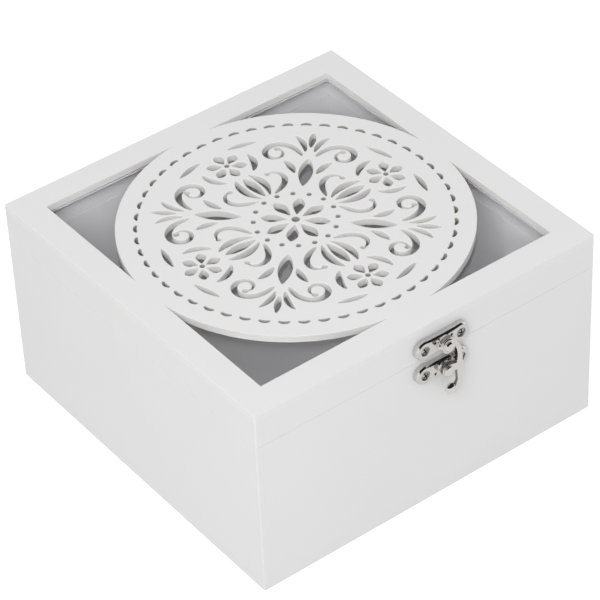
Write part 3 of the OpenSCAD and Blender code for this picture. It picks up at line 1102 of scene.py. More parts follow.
@dataclass
class Stroke:
    """One cut of the fretwork, as a curved stroke with narrow ends.

    Attributes:
        start: Where its middle line starts.
        aim: Its heading there, in degrees.
        length: Length of the middle line.
        width: Greatest width.
        bend: Degrees of turn per mm at its start and at its end.
        belly: Share of the length at which it is widest.
        ball: Radius of a round drop at its far end.
        steps: Points along one side.
        TIP: Half the width at either end.
        FULLNESS: How blunt the swell is; 1 is a plain sine.
        DROP_STEPS: Segments in the round drop.
    """

    start: Point
    aim: float
    length: float
    width: float
    bend: Point = (0.0, 0.0)
    belly: float = 0.5
    ball: float = 0.0
    steps: int = 20

    TIP: ClassVar[float] = 0.3
    FULLNESS: ClassVar[float] = 0.85
    DROP_STEPS: ClassVar[int] = 20

    def heading(self, s: float) -> float:
        """Heading in radians after a distance s in mm."""
        first, last = self.bend
        return math.radians(self.aim + first * s + (last - first) * s * s / (2 * self.length))

    def half_width(self, t: float) -> float:
        """Half the width at a share t of the length."""
        swell = math.sin(math.pi * min(max(t, 0.0), 1.0) ** (math.log(0.5) / math.log(self.belly)))
        return self.TIP + (self.width / 2 - self.TIP) * max(swell, 0.0) ** self.FULLNESS

    def outline(self) -> Loop:
        """The cut's closed line in mm."""
        step = self.length / self.steps
        x, y = self.start
        middle = [(x, y)]
        for i in range(self.steps):
            a = self.heading((i + 0.5) * step)
            x, y = x + step * math.cos(a), y + step * math.sin(a)
            middle.append((x, y))
        sides: list[Loop] = []
        for hand in (1, -1):
            side = []
            for i, (px, py) in enumerate(middle):
                a = self.heading(i * step)
                half = hand * self.half_width(i / self.steps)
                side.append((px - half * math.sin(a), py + half * math.cos(a)))
            sides.append(side)
        left, right = sides
        if self.ball <= 0:
            return left + right[::-1]
        end = middle[-1]
        left = [p for p in left if math.dist(p, end) > self.ball]
        right = [p for p in right if math.dist(p, end) > self.ball]
        first = math.atan2(left[-1][1] - end[1], left[-1][0] - end[0])
        last = math.atan2(right[-1][1] - end[1], right[-1][0] - end[0])
        while last > first:
            last -= 2 * math.pi
        turns = [first + (last - first) * k / self.DROP_STEPS for k in range(1, self.DROP_STEPS)]
        drop = [(end[0] + self.ball * math.cos(a), end[1] + self.ball * math.sin(a)) for a in turns]
        return left + drop + right[::-1]


def turned(loops: Iterable[Loop], degrees: float) -> list[Loop]:
    """The loops turned about the origin."""
    c, s = math.cos(math.radians(degrees)), math.sin(math.radians(degrees))
    return [[(c * x - s * y, s * x + c * y) for x, y in loop] for loop in loops]


def shifted(loops: Iterable[Loop], x0: float, y0: float) -> list[Loop]:
    """The loops moved by x0 and y0."""
    return [[(x + x0, y + y0) for x, y in loop] for loop in loops]


def mirrored_pair(loops: list[Loop]) -> list[Loop]:
    """The loops and their mirror images across the Y axis."""
    return loops + [[(-x, y) for x, y in loop] for loop in loops]


@dataclass
class Fretwork:
    """The pierced pattern of the lid's round field, in mm.

    Attributes:
        ring_radius: Radius of the ring of crescents.
        ring_pitch: Spacing of the crescents.
        crescent_bend: Turn per mm along a crescent.
        crescent_length: Length of a crescent.
        crescent_width: Greatest width of a crescent.
    """

    ring_radius: float = 76.5
    ring_pitch: float = 9.25
    crescent_bend: float = 13.2
    crescent_length: float = 5.3
    crescent_width: float = 1.5

    def blossom(self, petals: int, inner: float, length: float, width: float, eye: float) -> list[Loop]:
        """Petals round a plain middle with a small round eye.

        Args:
            petals: Number of petals.
            inner: Distance of a petal from the middle.
            length: Length of a petal.
            width: Width of a petal.
            eye: Radius of the eye.

        Returns:
            The cuts.
        """
        petal = [Stroke((inner, 0.0), 0.0, length, width, belly=0.6, steps=14).outline()]
        cuts: list[Loop] = [ring_points((0.0, 0.0), eye, count=24)]
        for i in range(petals):
            cuts += turned(petal, 90 + i * 360 / petals)
        return cuts

    def rosette(self) -> list[Loop]:
        """The middle blossom and its ring of dots."""
        cuts = self.blossom(petals=8, inner=4.2, length=12.6, width=5.8, eye=1.8)
        dots, reach, radius = 16, 20.2, 1.05
        for i in range(dots):
            cuts += turned([ring_points((reach, 0.0), radius, count=18)], (i + 0.5) * 360 / dots)
        return cuts

    def axis_spray(self) -> list[Loop]:
        """Tulip, its curling sepals and a small blossom above."""
        paired = [
            Stroke((2.5, 23.5), 56, 20, 4, (3, 3), 0.55),
            Stroke((5, 22.5), 20, 24.5, 3, (-1, 15), 0.4, 1.3, 44),
            Stroke((7.8, 43.9), 35, 14.5, 3.4, (4.2, 4.2)),
            Stroke((8.5, 65.5), -4, 15, 3, (-2.2, 0.6)),
        ]
        cuts = [Stroke((0, 24), 90, 17.5, 5.2, belly=0.55).outline()]
        cuts += mirrored_pair([stroke.outline() for stroke in paired])
        blossom = self.blossom(petals=6, inner=2.3, length=7.6, width=4.9, eye=1.1)
        return cuts + shifted(blossom, 0, 55)

    def diagonal_spray(self) -> list[Loop]:
        """Long leaf, two scrolls and a fan of leaves."""
        paired = [
            Stroke((2.3, 54), 84, 14, 3, (-2.5, -4)),
            Stroke((3.4, 50.5), 60, 45, 3.5, (-1.5, -17), 0.35, 1.5, 52),
            Stroke((5.4, 36.5), 70, 11.5, 3.6, (-2, -3)),
        ]
        cuts = [Stroke((0, 26.5), 90, 22, 7).outline(), Stroke((0, 57.5), 90, 12, 3.4).outline()]
        return turned(cuts + mirrored_pair([stroke.outline() for stroke in paired]), -45)

    def crescents(self) -> list[Loop]:
        """The ring of crescents."""
        turn = self.crescent_bend * self.crescent_length
        arc = 180 / math.pi / self.crescent_bend
        half = math.radians(turn / 2)
        one = Stroke(
            (0, -arc * math.sin(half)), 90 - turn / 2, self.crescent_length, self.crescent_width,
            (self.crescent_bend, self.crescent_bend), steps=12,
        )
        at_ring = shifted([one.outline()], self.ring_radius - arc * (1 - math.cos(half)), 0)
        count = round(2 * math.pi * self.ring_radius / self.ring_pitch)
        return [loop for i in range(count) for loop in turned(at_ring, i * 360 / count)]

    def cuts(self) -> list[Loop]:
        """Every cut, in metres."""
        drawn = self.rosette()
        for quarter in range(4):
            drawn += turned(self.axis_spray() + self.diagonal_spray(), 90 * quarter)
        drawn += self.crescents()
        return [[(x * MM, y * MM) for x, y in loop] for loop in drawn]


@dataclass
class PiercedSheet:
    """The lid's top: square frame and round field cut from one sheet.

    Attributes:
        half: Half the width of the sheet.
        window: Distance of the windows' straight edges from the middle.
        disc: Radius of the round field.
        low: Height of the lower face.
        thick: Thickness.
        edge: Rounding of the upper arrises.
        char_and_shade: Width of the lower arrises, whose dark finish is browning from the cutting beam
            together with painted shade where the sheet meets the glass.
        fine: Area of a cut below which its wall takes a darker colour, painted shade for the deep shade in
            small cuts.
        corner: Rounding of the upright corners.
        steps: Segments in the curved side of a window.
        fretwork: The pierced pattern.
    """

    half: float = 100 * MM
    window: float = 85.3 * MM
    disc: float = 86 * MM
    low: float = 103.7 * MM
    thick: float = 4 * MM
    edge: float = 0.3 * MM
    char_and_shade: float = 0.3 * MM
    fine: float = 15 * MM * MM
    corner: float = 0.7 * MM
    steps: int = 60
    fretwork: Fretwork = field(default_factory=Fretwork)

    def windows(self) -> list[Loop]:
        """The four corner windows between frame and round field."""
        across = math.sqrt(self.disc**2 - self.window**2)
        first = math.atan2(across, self.window)
        last = math.pi / 2 - first
        curve = [first + (last - first) * k / self.steps for k in range(self.steps + 1)]
        loop = [(self.window, self.window)]
        loop += [(self.disc * math.cos(a), self.disc * math.sin(a)) for a in reversed(curve)]
        return [turned([loop], 90 * quarter)[0] for quarter in range(4)]

    def build(self) -> None:
        """Makes the sheet."""
        signs = ((-1, -1), (1, -1), (1, 1), (-1, 1))
        rim = round_corners([(s * self.half, t * self.half, self.corner) for s, t in signs], steps=5)
        loops = [rim] + self.windows() + self.fretwork.cuts()
        low, high = self.low + SEAT_GAP, self.low + self.thick
        sheet = CutSheet(loops, low, high, self.edge, self.char_and_shade, lower_steps=1, square_rim=True)
        # The lower arrises take the dark finish, part browning and part painted shade.
        finishes = (SHEET_PAINT, CUT_EDGE_TONE_AND_LIGHT, CHARRED_AND_SHADED_ARRIS, FINE_CUT_PAINTED_SHADE)
        face, cut, arris, fine_cut = range(len(finishes))
        # Small cuts get the painted-shade wall colour.
        walls = [face] + [fine_cut if abs(signed_area(loop)) < self.fine else cut for loop in loops[1:]]
        mesh = bmesh.new()
        sheet.build(mesh, Matrix.Identity(4), lambda number: (walls[number], arris))
        place_piece("pierced_lid_sheet", mesh, finishes, Body.LID, ["lid_top_sheet"])


# ---- Latch and hinges ----


@dataclass
class CrossScrew:
    """Screw head with a cross slot; the slot's faces take the second finish, which is painted shade.

    Attributes:
        radius: Radius of the head.
        rise: Height of the head.
        rim: Share of the height that is upright rim.
        slot: Width of the slot's arms.
        reach: Length of a slot arm from the middle.
        sink: Depth of the slot.
        FLOOR: Size of the slot's floor, as a share of the slot's outline.
        STEP: Size of the slot where it steepens, as such a share, and that place's height above
            the floor as a share of the depth.
        FLANK: Shares of the radius at which the head's flank has a ring.
        FALL: Power of the radius with which the flank falls.
    """

    radius: float = 2.1 * MM
    rise: float = 1.1 * MM
    rim: float = 0.2
    slot: float = 0.7 * MM
    reach: float = 1.55 * MM
    sink: float = 0.9 * MM

    FLOOR: ClassVar[float] = 0.3
    STEP: ClassVar[tuple[float, float]] = (0.82, 0.25)
    FLANK: ClassVar[tuple[float, ...]] = (0.76, 0.86, 0.94, 0.985, 1.0)
    FALL: ClassVar[int] = 4

    def height(self, r: float) -> float:
        """Height of the head at a radius."""
        share = min(r / self.radius, 1.0)
        return self.rise * (self.rim + (1 - self.rim) * (1 - share**self.FALL))

    def slot_line(self) -> Loop:
        """The slot's outline, in order round the middle."""
        w, r = self.slot / 2, self.reach
        arm = [(r, -w), (r, w), ((r + w) / 2, w), (w, w), (w, (r + w) / 2)]
        return sorted(
            (point for quarter in range(4) for point in turned([arm], 90 * quarter)[0]),
            key=lambda p: math.atan2(p[1], p[0]),
        )

    def build(self, mesh: Mesh, place: Matrix) -> None:
        """Adds the head to a mesh.

        Args:
            mesh: Mesh that receives it.
            place: Frame with its origin under the head's middle.
        """
        line = self.slot_line()
        rays = [(x / math.hypot(x, y), y / math.hypot(x, y)) for x, y in line]
        count = len(line)
        floor = self.height(0) - self.sink
        share, rise = self.STEP
        levels = [
            [(self.FLOOR * x, self.FLOOR * y, floor) for x, y in line],
            [(share * x, share * y, floor + rise * self.sink) for x, y in line],
            [(x, y, self.height(math.hypot(x, y))) for x, y in line],
        ]
        mouth = len(levels) - 1
        for r in (self.radius * share for share in self.FLANK):
            levels.append([(r * x, r * y, self.height(r)) for x, y in rays])
        levels.append([(x, y, 0.0) for x, y, _ in levels[-1]])
        rings = [[mesh.verts.new(place @ Vector(p)) for p in level] for level in levels]
        # The slot's floor and walls take the painted shade.
        mesh.faces.new(rings[0]).material_index = 1
        for level, (inner, outer) in enumerate(zip(rings, rings[1:])):
            for k in range(count):
                face = mesh.faces.new([inner[k], outer[k], outer[(k + 1) % count], inner[(k + 1) % count]])
                face.material_index = 1 if level < mouth else 0


@dataclass
class LatchPlate:
    """Cast plate with two round ends, two screw seats and two small piercings.

    Attributes:
        width: Width over both ends.
        height: Height of an end.
        thick: How far it stands out.
        waist: How much narrower its foot is between the ends, on each side.
        draft: Taper of its side.
        bevel: Width of the bevel round its face, at the ends.
        bevel_rise: How far the bevel runs down the side.
        swell: How much wider the bevel is half-way between the ends, as a share.
        seat: Radius of a screw's seat.
        seat_depth: Depth of a screw's seat.
        piercing: Distances of a piercing from the middle, across and up.
        piercing_r: Distance of a piercing's corners from its middle.
        lip: Small bevel of seats and piercings.
        arris: Rounding of the bevel's two edges.
        piercing_edge: Rounding of a piercing's corners.
        fillet: Softness of the corner between end and waist.
        spacing: Distance between points of the outline.
    """

    width: float = 31.5 * MM
    height: float = 10.3 * MM
    thick: float = 3.3 * MM
    waist: float = 0.25 * MM
    draft: float = 0.15 * MM
    bevel: float = 0.6 * MM
    bevel_rise: float = 0.95 * MM
    swell: float = 1.15
    seat: float = 2.5 * MM
    seat_depth: float = 1.2 * MM
    piercing: Point = (4.8 * MM, 1.95 * MM)
    piercing_r: float = 1.1 * MM
    lip: float = 0.15 * MM
    arris: float = 0.15 * MM
    piercing_edge: float = 0.2 * MM
    fillet: float = 0.6 * MM
    spacing: float = 0.4 * MM

    @property
    def lobe(self) -> float:
        """Distance of the round ends from the middle."""
        return (self.width - self.height) / 2

    def outline(self) -> Loop:
        """Two round ends joined by a slightly narrower waist."""
        half = self.height / 2

        def distance(x: np.ndarray, y: np.ndarray) -> np.ndarray:
            """Signed distance to the plate."""
            ends = np.hypot(np.abs(x) - self.lobe, y) - half
            bar = np.maximum(np.abs(x) - self.lobe, np.abs(y) - (half - self.waist))
            return blended(ends, bar, self.fillet)

        across, up, sample = 0.55 * self.width, 1.2 * half, 0.25 * MM
        line = contours(distance, (-across, across, -up, up), sample)[0]
        return oriented(evenly_spaced(line, self.spacing), True)

    def build(self, mesh: Mesh, place: Matrix, outward: int) -> None:
        """Adds the plate to a mesh.

        Args:
            mesh: Mesh that receives it.
            place: Frame on the box's face, with Z out of the face.
            outward: 1 where its piercings lie above its middle, -1 below.
        """
        line, top = self.outline(), self.thick
        shares = [min(abs(x) / self.lobe, 1) for x, _ in line]
        widening = [1 + self.swell * (1 + math.cos(math.pi * share)) / 2 for share in shares]
        face, flat_band = self.draft + self.bevel, 0.1 * MM
        side = [
            (0.0, 0.0, 0.0),
            (self.draft, top - self.bevel_rise, self.arris),
            (face, top, self.arris),
            (face + flat_band, top, 0.0),
        ]
        edges = rim_edges(mesh, raise_wall(mesh, line, round_corners(side), place, factors=widening)[-1])
        holes = []
        for hand in (-1, 1):
            x, y = hand * self.piercing[0], outward * self.piercing[1]
            corners = ring_points((x, y), self.piercing_r, count=3, first=90 * outward)
            holes.append((round_corners([(*corner, self.piercing_edge) for corner in corners]), self.thick))
            holes.append((ring_points((hand * self.lobe, 0.0), self.seat, count=40), self.seat_depth))
        for hole, depth in holes:
            profile = [(0.0, top - depth), (0.0, top - self.lip), (self.lip, top)]
            rings = raise_wall(mesh, oriented(hole, False), profile, place)
            edges += rim_edges(mesh, rings[-1])
            mesh.faces.new(rings[0])
        fill_flat(mesh, edges, place)


@dataclass
class SwingHook:
    """Hook with its curl, arm, hub, tail and domed finger pad, in mm about the rivet.

    Attributes:
        reach: Height of the post above the rivet.
        gap: Radius of the mouth round the post's neck.
        curl: Width of the curl.
        curl_turns: Directions of the curl's knots from the post: first, limit and step, in degrees.
        knots: Middle line of the arm and its width, from the curl to the pad.
        hub: Radius of the hub.
        neck: Where the hub's web meets the arm, and half the web's width there.
        pad: Middle and radius of the finger pad.
        fillet: Softness of the inner corners.
        low: Distance of the hook's inner face from the box.
        thick: Thickness of the arm.
        pad_rise: How far the pad's dome stands above the arm's face.
        pad_ball: Radius of the dome's curve.
        pad_core: Radius of the flat web under the dome.
        pad_foot: How much narrower the pad is on its inner face.
        hub_rise: How far the hub stands above the arm's face.
        hub_step: How much narrower the hub is where it stands above the arm.
        hub_bevel: Bevel of the hub's edge.
        bore: Radius of the rivet's hole.
        edge: Rounding of the outer arrises.
        back_edge: Rounding of the arrises next to the box.
        soft: Radius that all corners of the outline are eased to.
        SIDE: A face is a side where its normal has less than this share along the outward direction.
    """

    reach: float = 14.7
    gap: float = 2.4
    curl: float = 2.3
    curl_turns: tuple[int, int, int] = (170, 20, -20)
    knots: tuple[tuple[float, float, float], ...] = (
        (4.3, 14.1, 2.4), (5.5, 12.2, 2.6), (6.5, 9.7, 2.9), (7.0, 6.2, 3.0), (6.8, 0.0, 3.6),
        (6.85, -5.0, 3.0), (7.0, -8.8, 2.9), (6.4, -10.7, 2.8), (5.2, -12.2, 2.8), (4.2, -13.4, 2.8),
    )
    hub: float = 3.4
    neck: tuple[float, float] = (6.8, 1.7)
    pad: tuple[float, float, float] = (2.5, -13.4, 3.3)
    fillet: float = 1.0
    low: float = 4.7
    thick: float = 2.2
    pad_rise: float = 0.35
    pad_ball: float = 4.4
    pad_core: float = 1.6
    pad_foot: float = 0.3
    hub_rise: float = 0.3
    hub_step: float = 0.5
    hub_bevel: float = 0.15
    bore: float = 1.55
    edge: float = 0.5
    back_edge: float = 0.35
    soft: float = 0.5

    SIDE: ClassVar[float] = 0.25

    def spine(self) -> list[np.ndarray]:
        """Points of the middle line with their widths, on a smooth curve through the knots."""
        ring = self.gap + self.curl / 2
        turns = [math.radians(a) for a in range(*self.curl_turns)]
        knots = [(ring * math.cos(a), self.reach + ring * math.sin(a), self.curl) for a in turns]
        points = [np.array(p, dtype=float) for p in (*knots, *self.knots)]
        line = []
        per_knot = 8
        for i in range(len(points) - 1):
            p0, p1 = points[max(i - 1, 0)], points[i]
            p2, p3 = points[i + 1], points[min(i + 2, len(points) - 1)]
            square = 2 * p0 - 5 * p1 + 4 * p2 - p3
            cubic = 3 * p1 + p3 - p0 - 3 * p2
            for t in np.arange(per_knot) / per_knot:
                line.append(0.5 * (2 * p1 + (p2 - p0) * t + square * t * t + cubic * t**3))
        return line + [points[-1]]

    def outline(self) -> Loop:
        """The hook's closed line, in metres."""
        spine = self.spine()
        web, half = self.neck

        def distance(x: np.ndarray, y: np.ndarray) -> np.ndarray:
            """Signed distance to the hook."""
            arm = np.full(x.shape, FAR)
            for px, py, width in spine:
                arm = np.minimum(arm, np.hypot(x - px, y - py) - width / 2)
            pad = np.hypot(x - self.pad[0], y - self.pad[1]) - self.pad_core
            share = np.clip(x / web, 0, 1)
            hub = np.hypot(x - share * web, y) - (self.hub + (half - self.hub) * share)
            solid = blended(blended(arm, pad, self.fillet), hub, self.fillet)
            round_post = np.hypot(x, y - self.reach)
            along_swing = np.abs(np.hypot(x, y) - self.reach)
            return np.maximum(solid, self.gap - np.where(x > 0, round_post, along_swing))

        box, sample, spacing = (-7.0, 13.0, -20.0, 22.0), 0.2, 0.3
        line = max(contours(distance, box, sample), key=len)
        for level in (-self.soft, self.soft):
            line = max(contours(outline_field(line), box, sample, level), key=len)
        return [(x * MM, y * MM) for x, y in evenly_spaced(line, spacing)]

    def build(self, mesh: Mesh, place: Matrix) -> None:
        """Adds the hook to a mesh.

        Args:
            mesh: Mesh that receives it.
            place: Frame on the box's face about the rivet, with Z out of the face.
        """
        low, high = self.low * MM, (self.low + self.thick) * MM
        bore = ring_points((0.0, 0.0), self.bore * MM, count=32)
        arm = CutSheet(
            [self.outline(), bore], low, high, self.edge * MM, self.back_edge * MM, steps=4, lower_steps=3
        )
        arm.build(mesh, place)
        self.raise_hub(mesh, place, high)
        self.darken_sides_as_painted_reflection(mesh, place)
        x, y, r = (value * MM for value in self.pad)
        ball = self.pad_ball * MM
        centre = high + self.pad_rise * MM - ball
        turns = np.linspace(math.asin(r / ball), 0.0, num=14)
        dome = [(ball * math.sin(a), centre + ball * math.cos(a)) for a in turns]
        foot = [(0.0, low), (r - self.pad_foot * MM, low)]
        lathe(mesh, foot + dome, place @ Matrix.Translation((x, y, 0)), sides=48)

    def raise_hub(self, mesh: Mesh, place: Matrix, face: float) -> None:
        """Adds the part of the hub that stands above the arm.

        Args:
            mesh: Mesh that receives it.
            place: Frame on the box's face about the rivet, with Z out of the face.
            face: Height of the arm's face.
        """
        sunk = 0.2 * MM
        top, bevel = face + self.hub_rise * MM, self.hub_bevel * MM
        r = (self.hub - self.hub_step) * MM
        side = [(r, face - sunk), (r, top - bevel), (r - bevel, top), (self.bore * MM, top)]
        lathe(mesh, side, place, sides=40)

    def darken_sides_as_painted_reflection(self, mesh: Mesh, place: Matrix) -> None:
        """Gives the sides the second finish, a dark nickel that is painted reflection and shade, and leaves
        the first to what faces out.

        Args:
            mesh: Mesh of the hook.
            place: Its frame, with Z out of the face.
        """
        out = place.to_3x3() @ Vector((0, 0, 1))
        mesh.normal_update()
        for face in mesh.faces:
            # Sides take the painted dark reflection.
            face.material_index = 1 if abs(face.normal.dot(out)) < self.SIDE else 0


@dataclass
class CatchPost:
    """Turned post of the lid plate: collar, neck, flange and a rounded button.

    Attributes:
        collar: Radius of the collar.
        collar_t: Height of the collar.
        collar_bevel: Bevel of its edge.
        neck: Radius of the neck that the hook takes hold of.
        flange: Radius of the flange.
        flange_t: Thickness of the flange.
        flange_bevels: Bevels of its inner and outer edge.
        button: Side of the button as (radius, height above the flange).
    """

    collar: float = 4 * MM
    collar_t: float = 1.1 * MM
    collar_bevel: float = 0.25 * MM
    neck: float = 2.1 * MM
    flange: float = 3.8 * MM
    flange_t: float = 0.4 * MM
    flange_bevels: Point = (0.1 * MM, 0.12 * MM)
    button: tuple[Point, ...] = (
        (2.8 * MM, 0.0), (2.8 * MM, 0.1 * MM), (2.74 * MM, 0.26 * MM), (2.12 * MM, 0.88 * MM),
        (1.96 * MM, 0.97 * MM), (1.75 * MM, 1.0 * MM), (0.0, 1.0 * MM),
    )

    def profile(self, foot: float, head: float) -> Loop:
        """Draws its side.

        Args:
            foot: Height of the plate's face.
            head: Height of the flange's inner face.

        Returns:
            Points as (radius, height).
        """
        collar_top, flange_top = foot + self.collar_t, head + self.flange_t
        inner, outer = self.flange_bevels
        return [
            (self.collar, foot),
            (self.collar, collar_top - self.collar_bevel),
            (self.collar - self.collar_bevel, collar_top),
            (self.neck, collar_top),
            (self.neck, head),
            (self.flange - inner, head),
            (self.flange, head + inner),
            (self.flange, flange_top - outer),
            (self.flange - outer, flange_top),
            *((radius, flange_top + height) for radius, height in self.button),
        ]


@dataclass
class HookRivet:
    """Rivet with a domed head.

    Attributes:
        shank: Radius of the shank.
        head: Radius of the head.
        brim: Height of the head's upright rim, and the bevel under it.
        dome: Height of the dome above the rim.
        lift: Distance of the head's underside from the arm's face.
        step: Turn between rings of the dome, in degrees.
    """

    shank: float = 1.5 * MM
    head: float = 2.8 * MM
    brim: float = 0.1 * MM
    dome: float = 0.8 * MM
    lift: float = 0.6 * MM
    step: int = 10

    def profile(self, foot: float, arm: float) -> Loop:
        """Draws its side.

        Args:
            foot: Height of the plate's face.
            arm: Height of the hook's face.

        Returns:
            Points as (radius, height).
        """
        base = arm + self.lift
        rim = base + self.brim
        turns = np.radians(np.arange(90, -1, -self.step))
        dome = [(self.head * math.sin(a), rim + self.dome * math.cos(a)) for a in turns]
        return [(self.shank, foot), (self.shank, base), (self.head - self.brim, base)] + dome


@dataclass
class Latch:
    """Swing hook with its two plates, post, rivet and screws.

    The local frame lies on the front face: X right, Y up and Z out of the face.

    Attributes:
        across: Distance of the latch from the middle of the front.
        face: Distance of the front face from the middle.
        parting: Height of the line between body and lid.
        lid_up: Height of the lid plate's middle above the parting line.
        body_down: Depth of the body plate's middle below it.
        run: Gap between pieces that slide past each other.
        boss: Side of the body plate's boss as (radius, height above the plate).
        screw_turns: Turn of each plate's left and right screw, in degrees.
        plate_shape: The plates.
        post_shape: The post on the lid plate.
        hook_shape: The hook.
        rivet_shape: The rivet on which it turns.
        screw_shape: The screws.
    """

    across: float = 5.2 * MM
    face: float = 100 * MM
    parting: float = 88.15 * MM
    lid_up: float = 7.3 * MM
    body_down: float = 7.4 * MM
    run: float = 0.3 * MM
    boss: tuple[Point, ...] = (
        (3.3 * MM, 0.0), (3.05 * MM, 0.2 * MM), (3.0 * MM, 1.1 * MM), (1.5 * MM, 1.1 * MM),
    )
    screw_turns: Point = (25.0, -15.0)
    plate_shape: LatchPlate = field(default_factory=LatchPlate)
    post_shape: CatchPost = field(default_factory=CatchPost)
    hook_shape: SwingHook = field(default_factory=SwingHook)
    rivet_shape: HookRivet = field(default_factory=HookRivet)
    screw_shape: CrossScrew = field(default_factory=CrossScrew)

    def place(self, up: float) -> Matrix:
        """The local frame at a height above the parting line."""
        origin = Matrix.Translation((self.across, -self.face, self.parting + up))
        return origin @ Matrix.Rotation(math.pi / 2, 4, "X")

    @property
    def hook_top(self) -> float:
        """Distance of the hook's face from the box."""
        return (self.hook_shape.low + self.hook_shape.thick) * MM

    def plates(self) -> None:
        """Makes the lid plate and the body plate with its boss."""
        lid, body = bmesh.new(), bmesh.new()
        self.plate_shape.build(lid, self.place(self.lid_up), 1)
        self.plate_shape.build(body, self.place(-self.body_down), -1)
        boss = [(radius, self.plate_shape.thick + height) for radius, height in self.boss]
        lathe(body, boss, self.place(-self.body_down), sides=40)
        metal = [NICKEL]
        place_piece("lid_latch_plate", lid, metal, Body.LID, ["latch_lid_plate"], sharp=50)
        place_piece("body_latch_plate", body, metal, Body.BODY, ["latch_body_plate"], sharp=50)

    def post(self) -> None:
        """Makes the post whose flange keeps the hook on it."""
        profile = self.post_shape.profile(self.plate_shape.thick, self.hook_top + self.run)
        mesh = bmesh.new()
        lathe(mesh, profile, self.place(self.lid_up), sides=56)
        place_piece("latch_catch_post", mesh, [NICKEL_HOOK], Body.LID, ["latch_post"], sharp=40)

    def rivet(self) -> None:
        """Makes the rivet on which the hook turns."""
        profile = self.rivet_shape.profile(self.plate_shape.thick, self.hook_top)
        mesh = bmesh.new()
        lathe(mesh, profile, self.place(-self.body_down), sides=48)
        place_piece("hook_rivet", mesh, [NICKEL_HOOK], Body.BODY, ["latch_pivot"], sharp=50)

    def hook(self) -> None:
        """Makes the swing hook, bright on its face, with a painted dark reflection on its sides."""
        mesh = bmesh.new()
        self.hook_shape.build(mesh, self.place(-self.body_down))
        metal = [NICKEL_HOOK, NICKEL_SIDE_PAINTED_DARK]
        place_piece("swing_hook", mesh, metal, Body.HOOK, ["latch_hook"], sharp=50)

    def screws(self) -> None:
        """Makes the two screws of each plate."""
        depth = self.plate_shape.thick - self.plate_shape.seat_depth
        metal = [SCREW_STEEL, RECESS_PAINTED_SHADE]
        for name, up, body in (("lid", self.lid_up, Body.LID), ("body", -self.body_down, Body.BODY)):
            mesh = bmesh.new()
            for hand, turn in zip((-1, 1), self.screw_turns):
                at = self.place(up) @ Matrix.Translation((hand * self.plate_shape.lobe, 0, depth))
                self.screw_shape.build(mesh, at @ Matrix.Rotation(math.radians(turn), 4, "Z"))
            node = f"latch_{name}_screws"
            place_piece(f"{name}_plate_screws", mesh, metal, body, [node], sharp=45)

    def build(self) -> None:
        """Makes the whole latch."""
        self.plates()
        self.post()
        self.rivet()
        self.hook()
        self.screws()


FLUSH_SCREW = CrossScrew(
    radius=2.1 * MM, rise=0.4 * MM, rim=0.8, slot=0.5 * MM, reach=1.2 * MM, sink=0.35 * MM
)


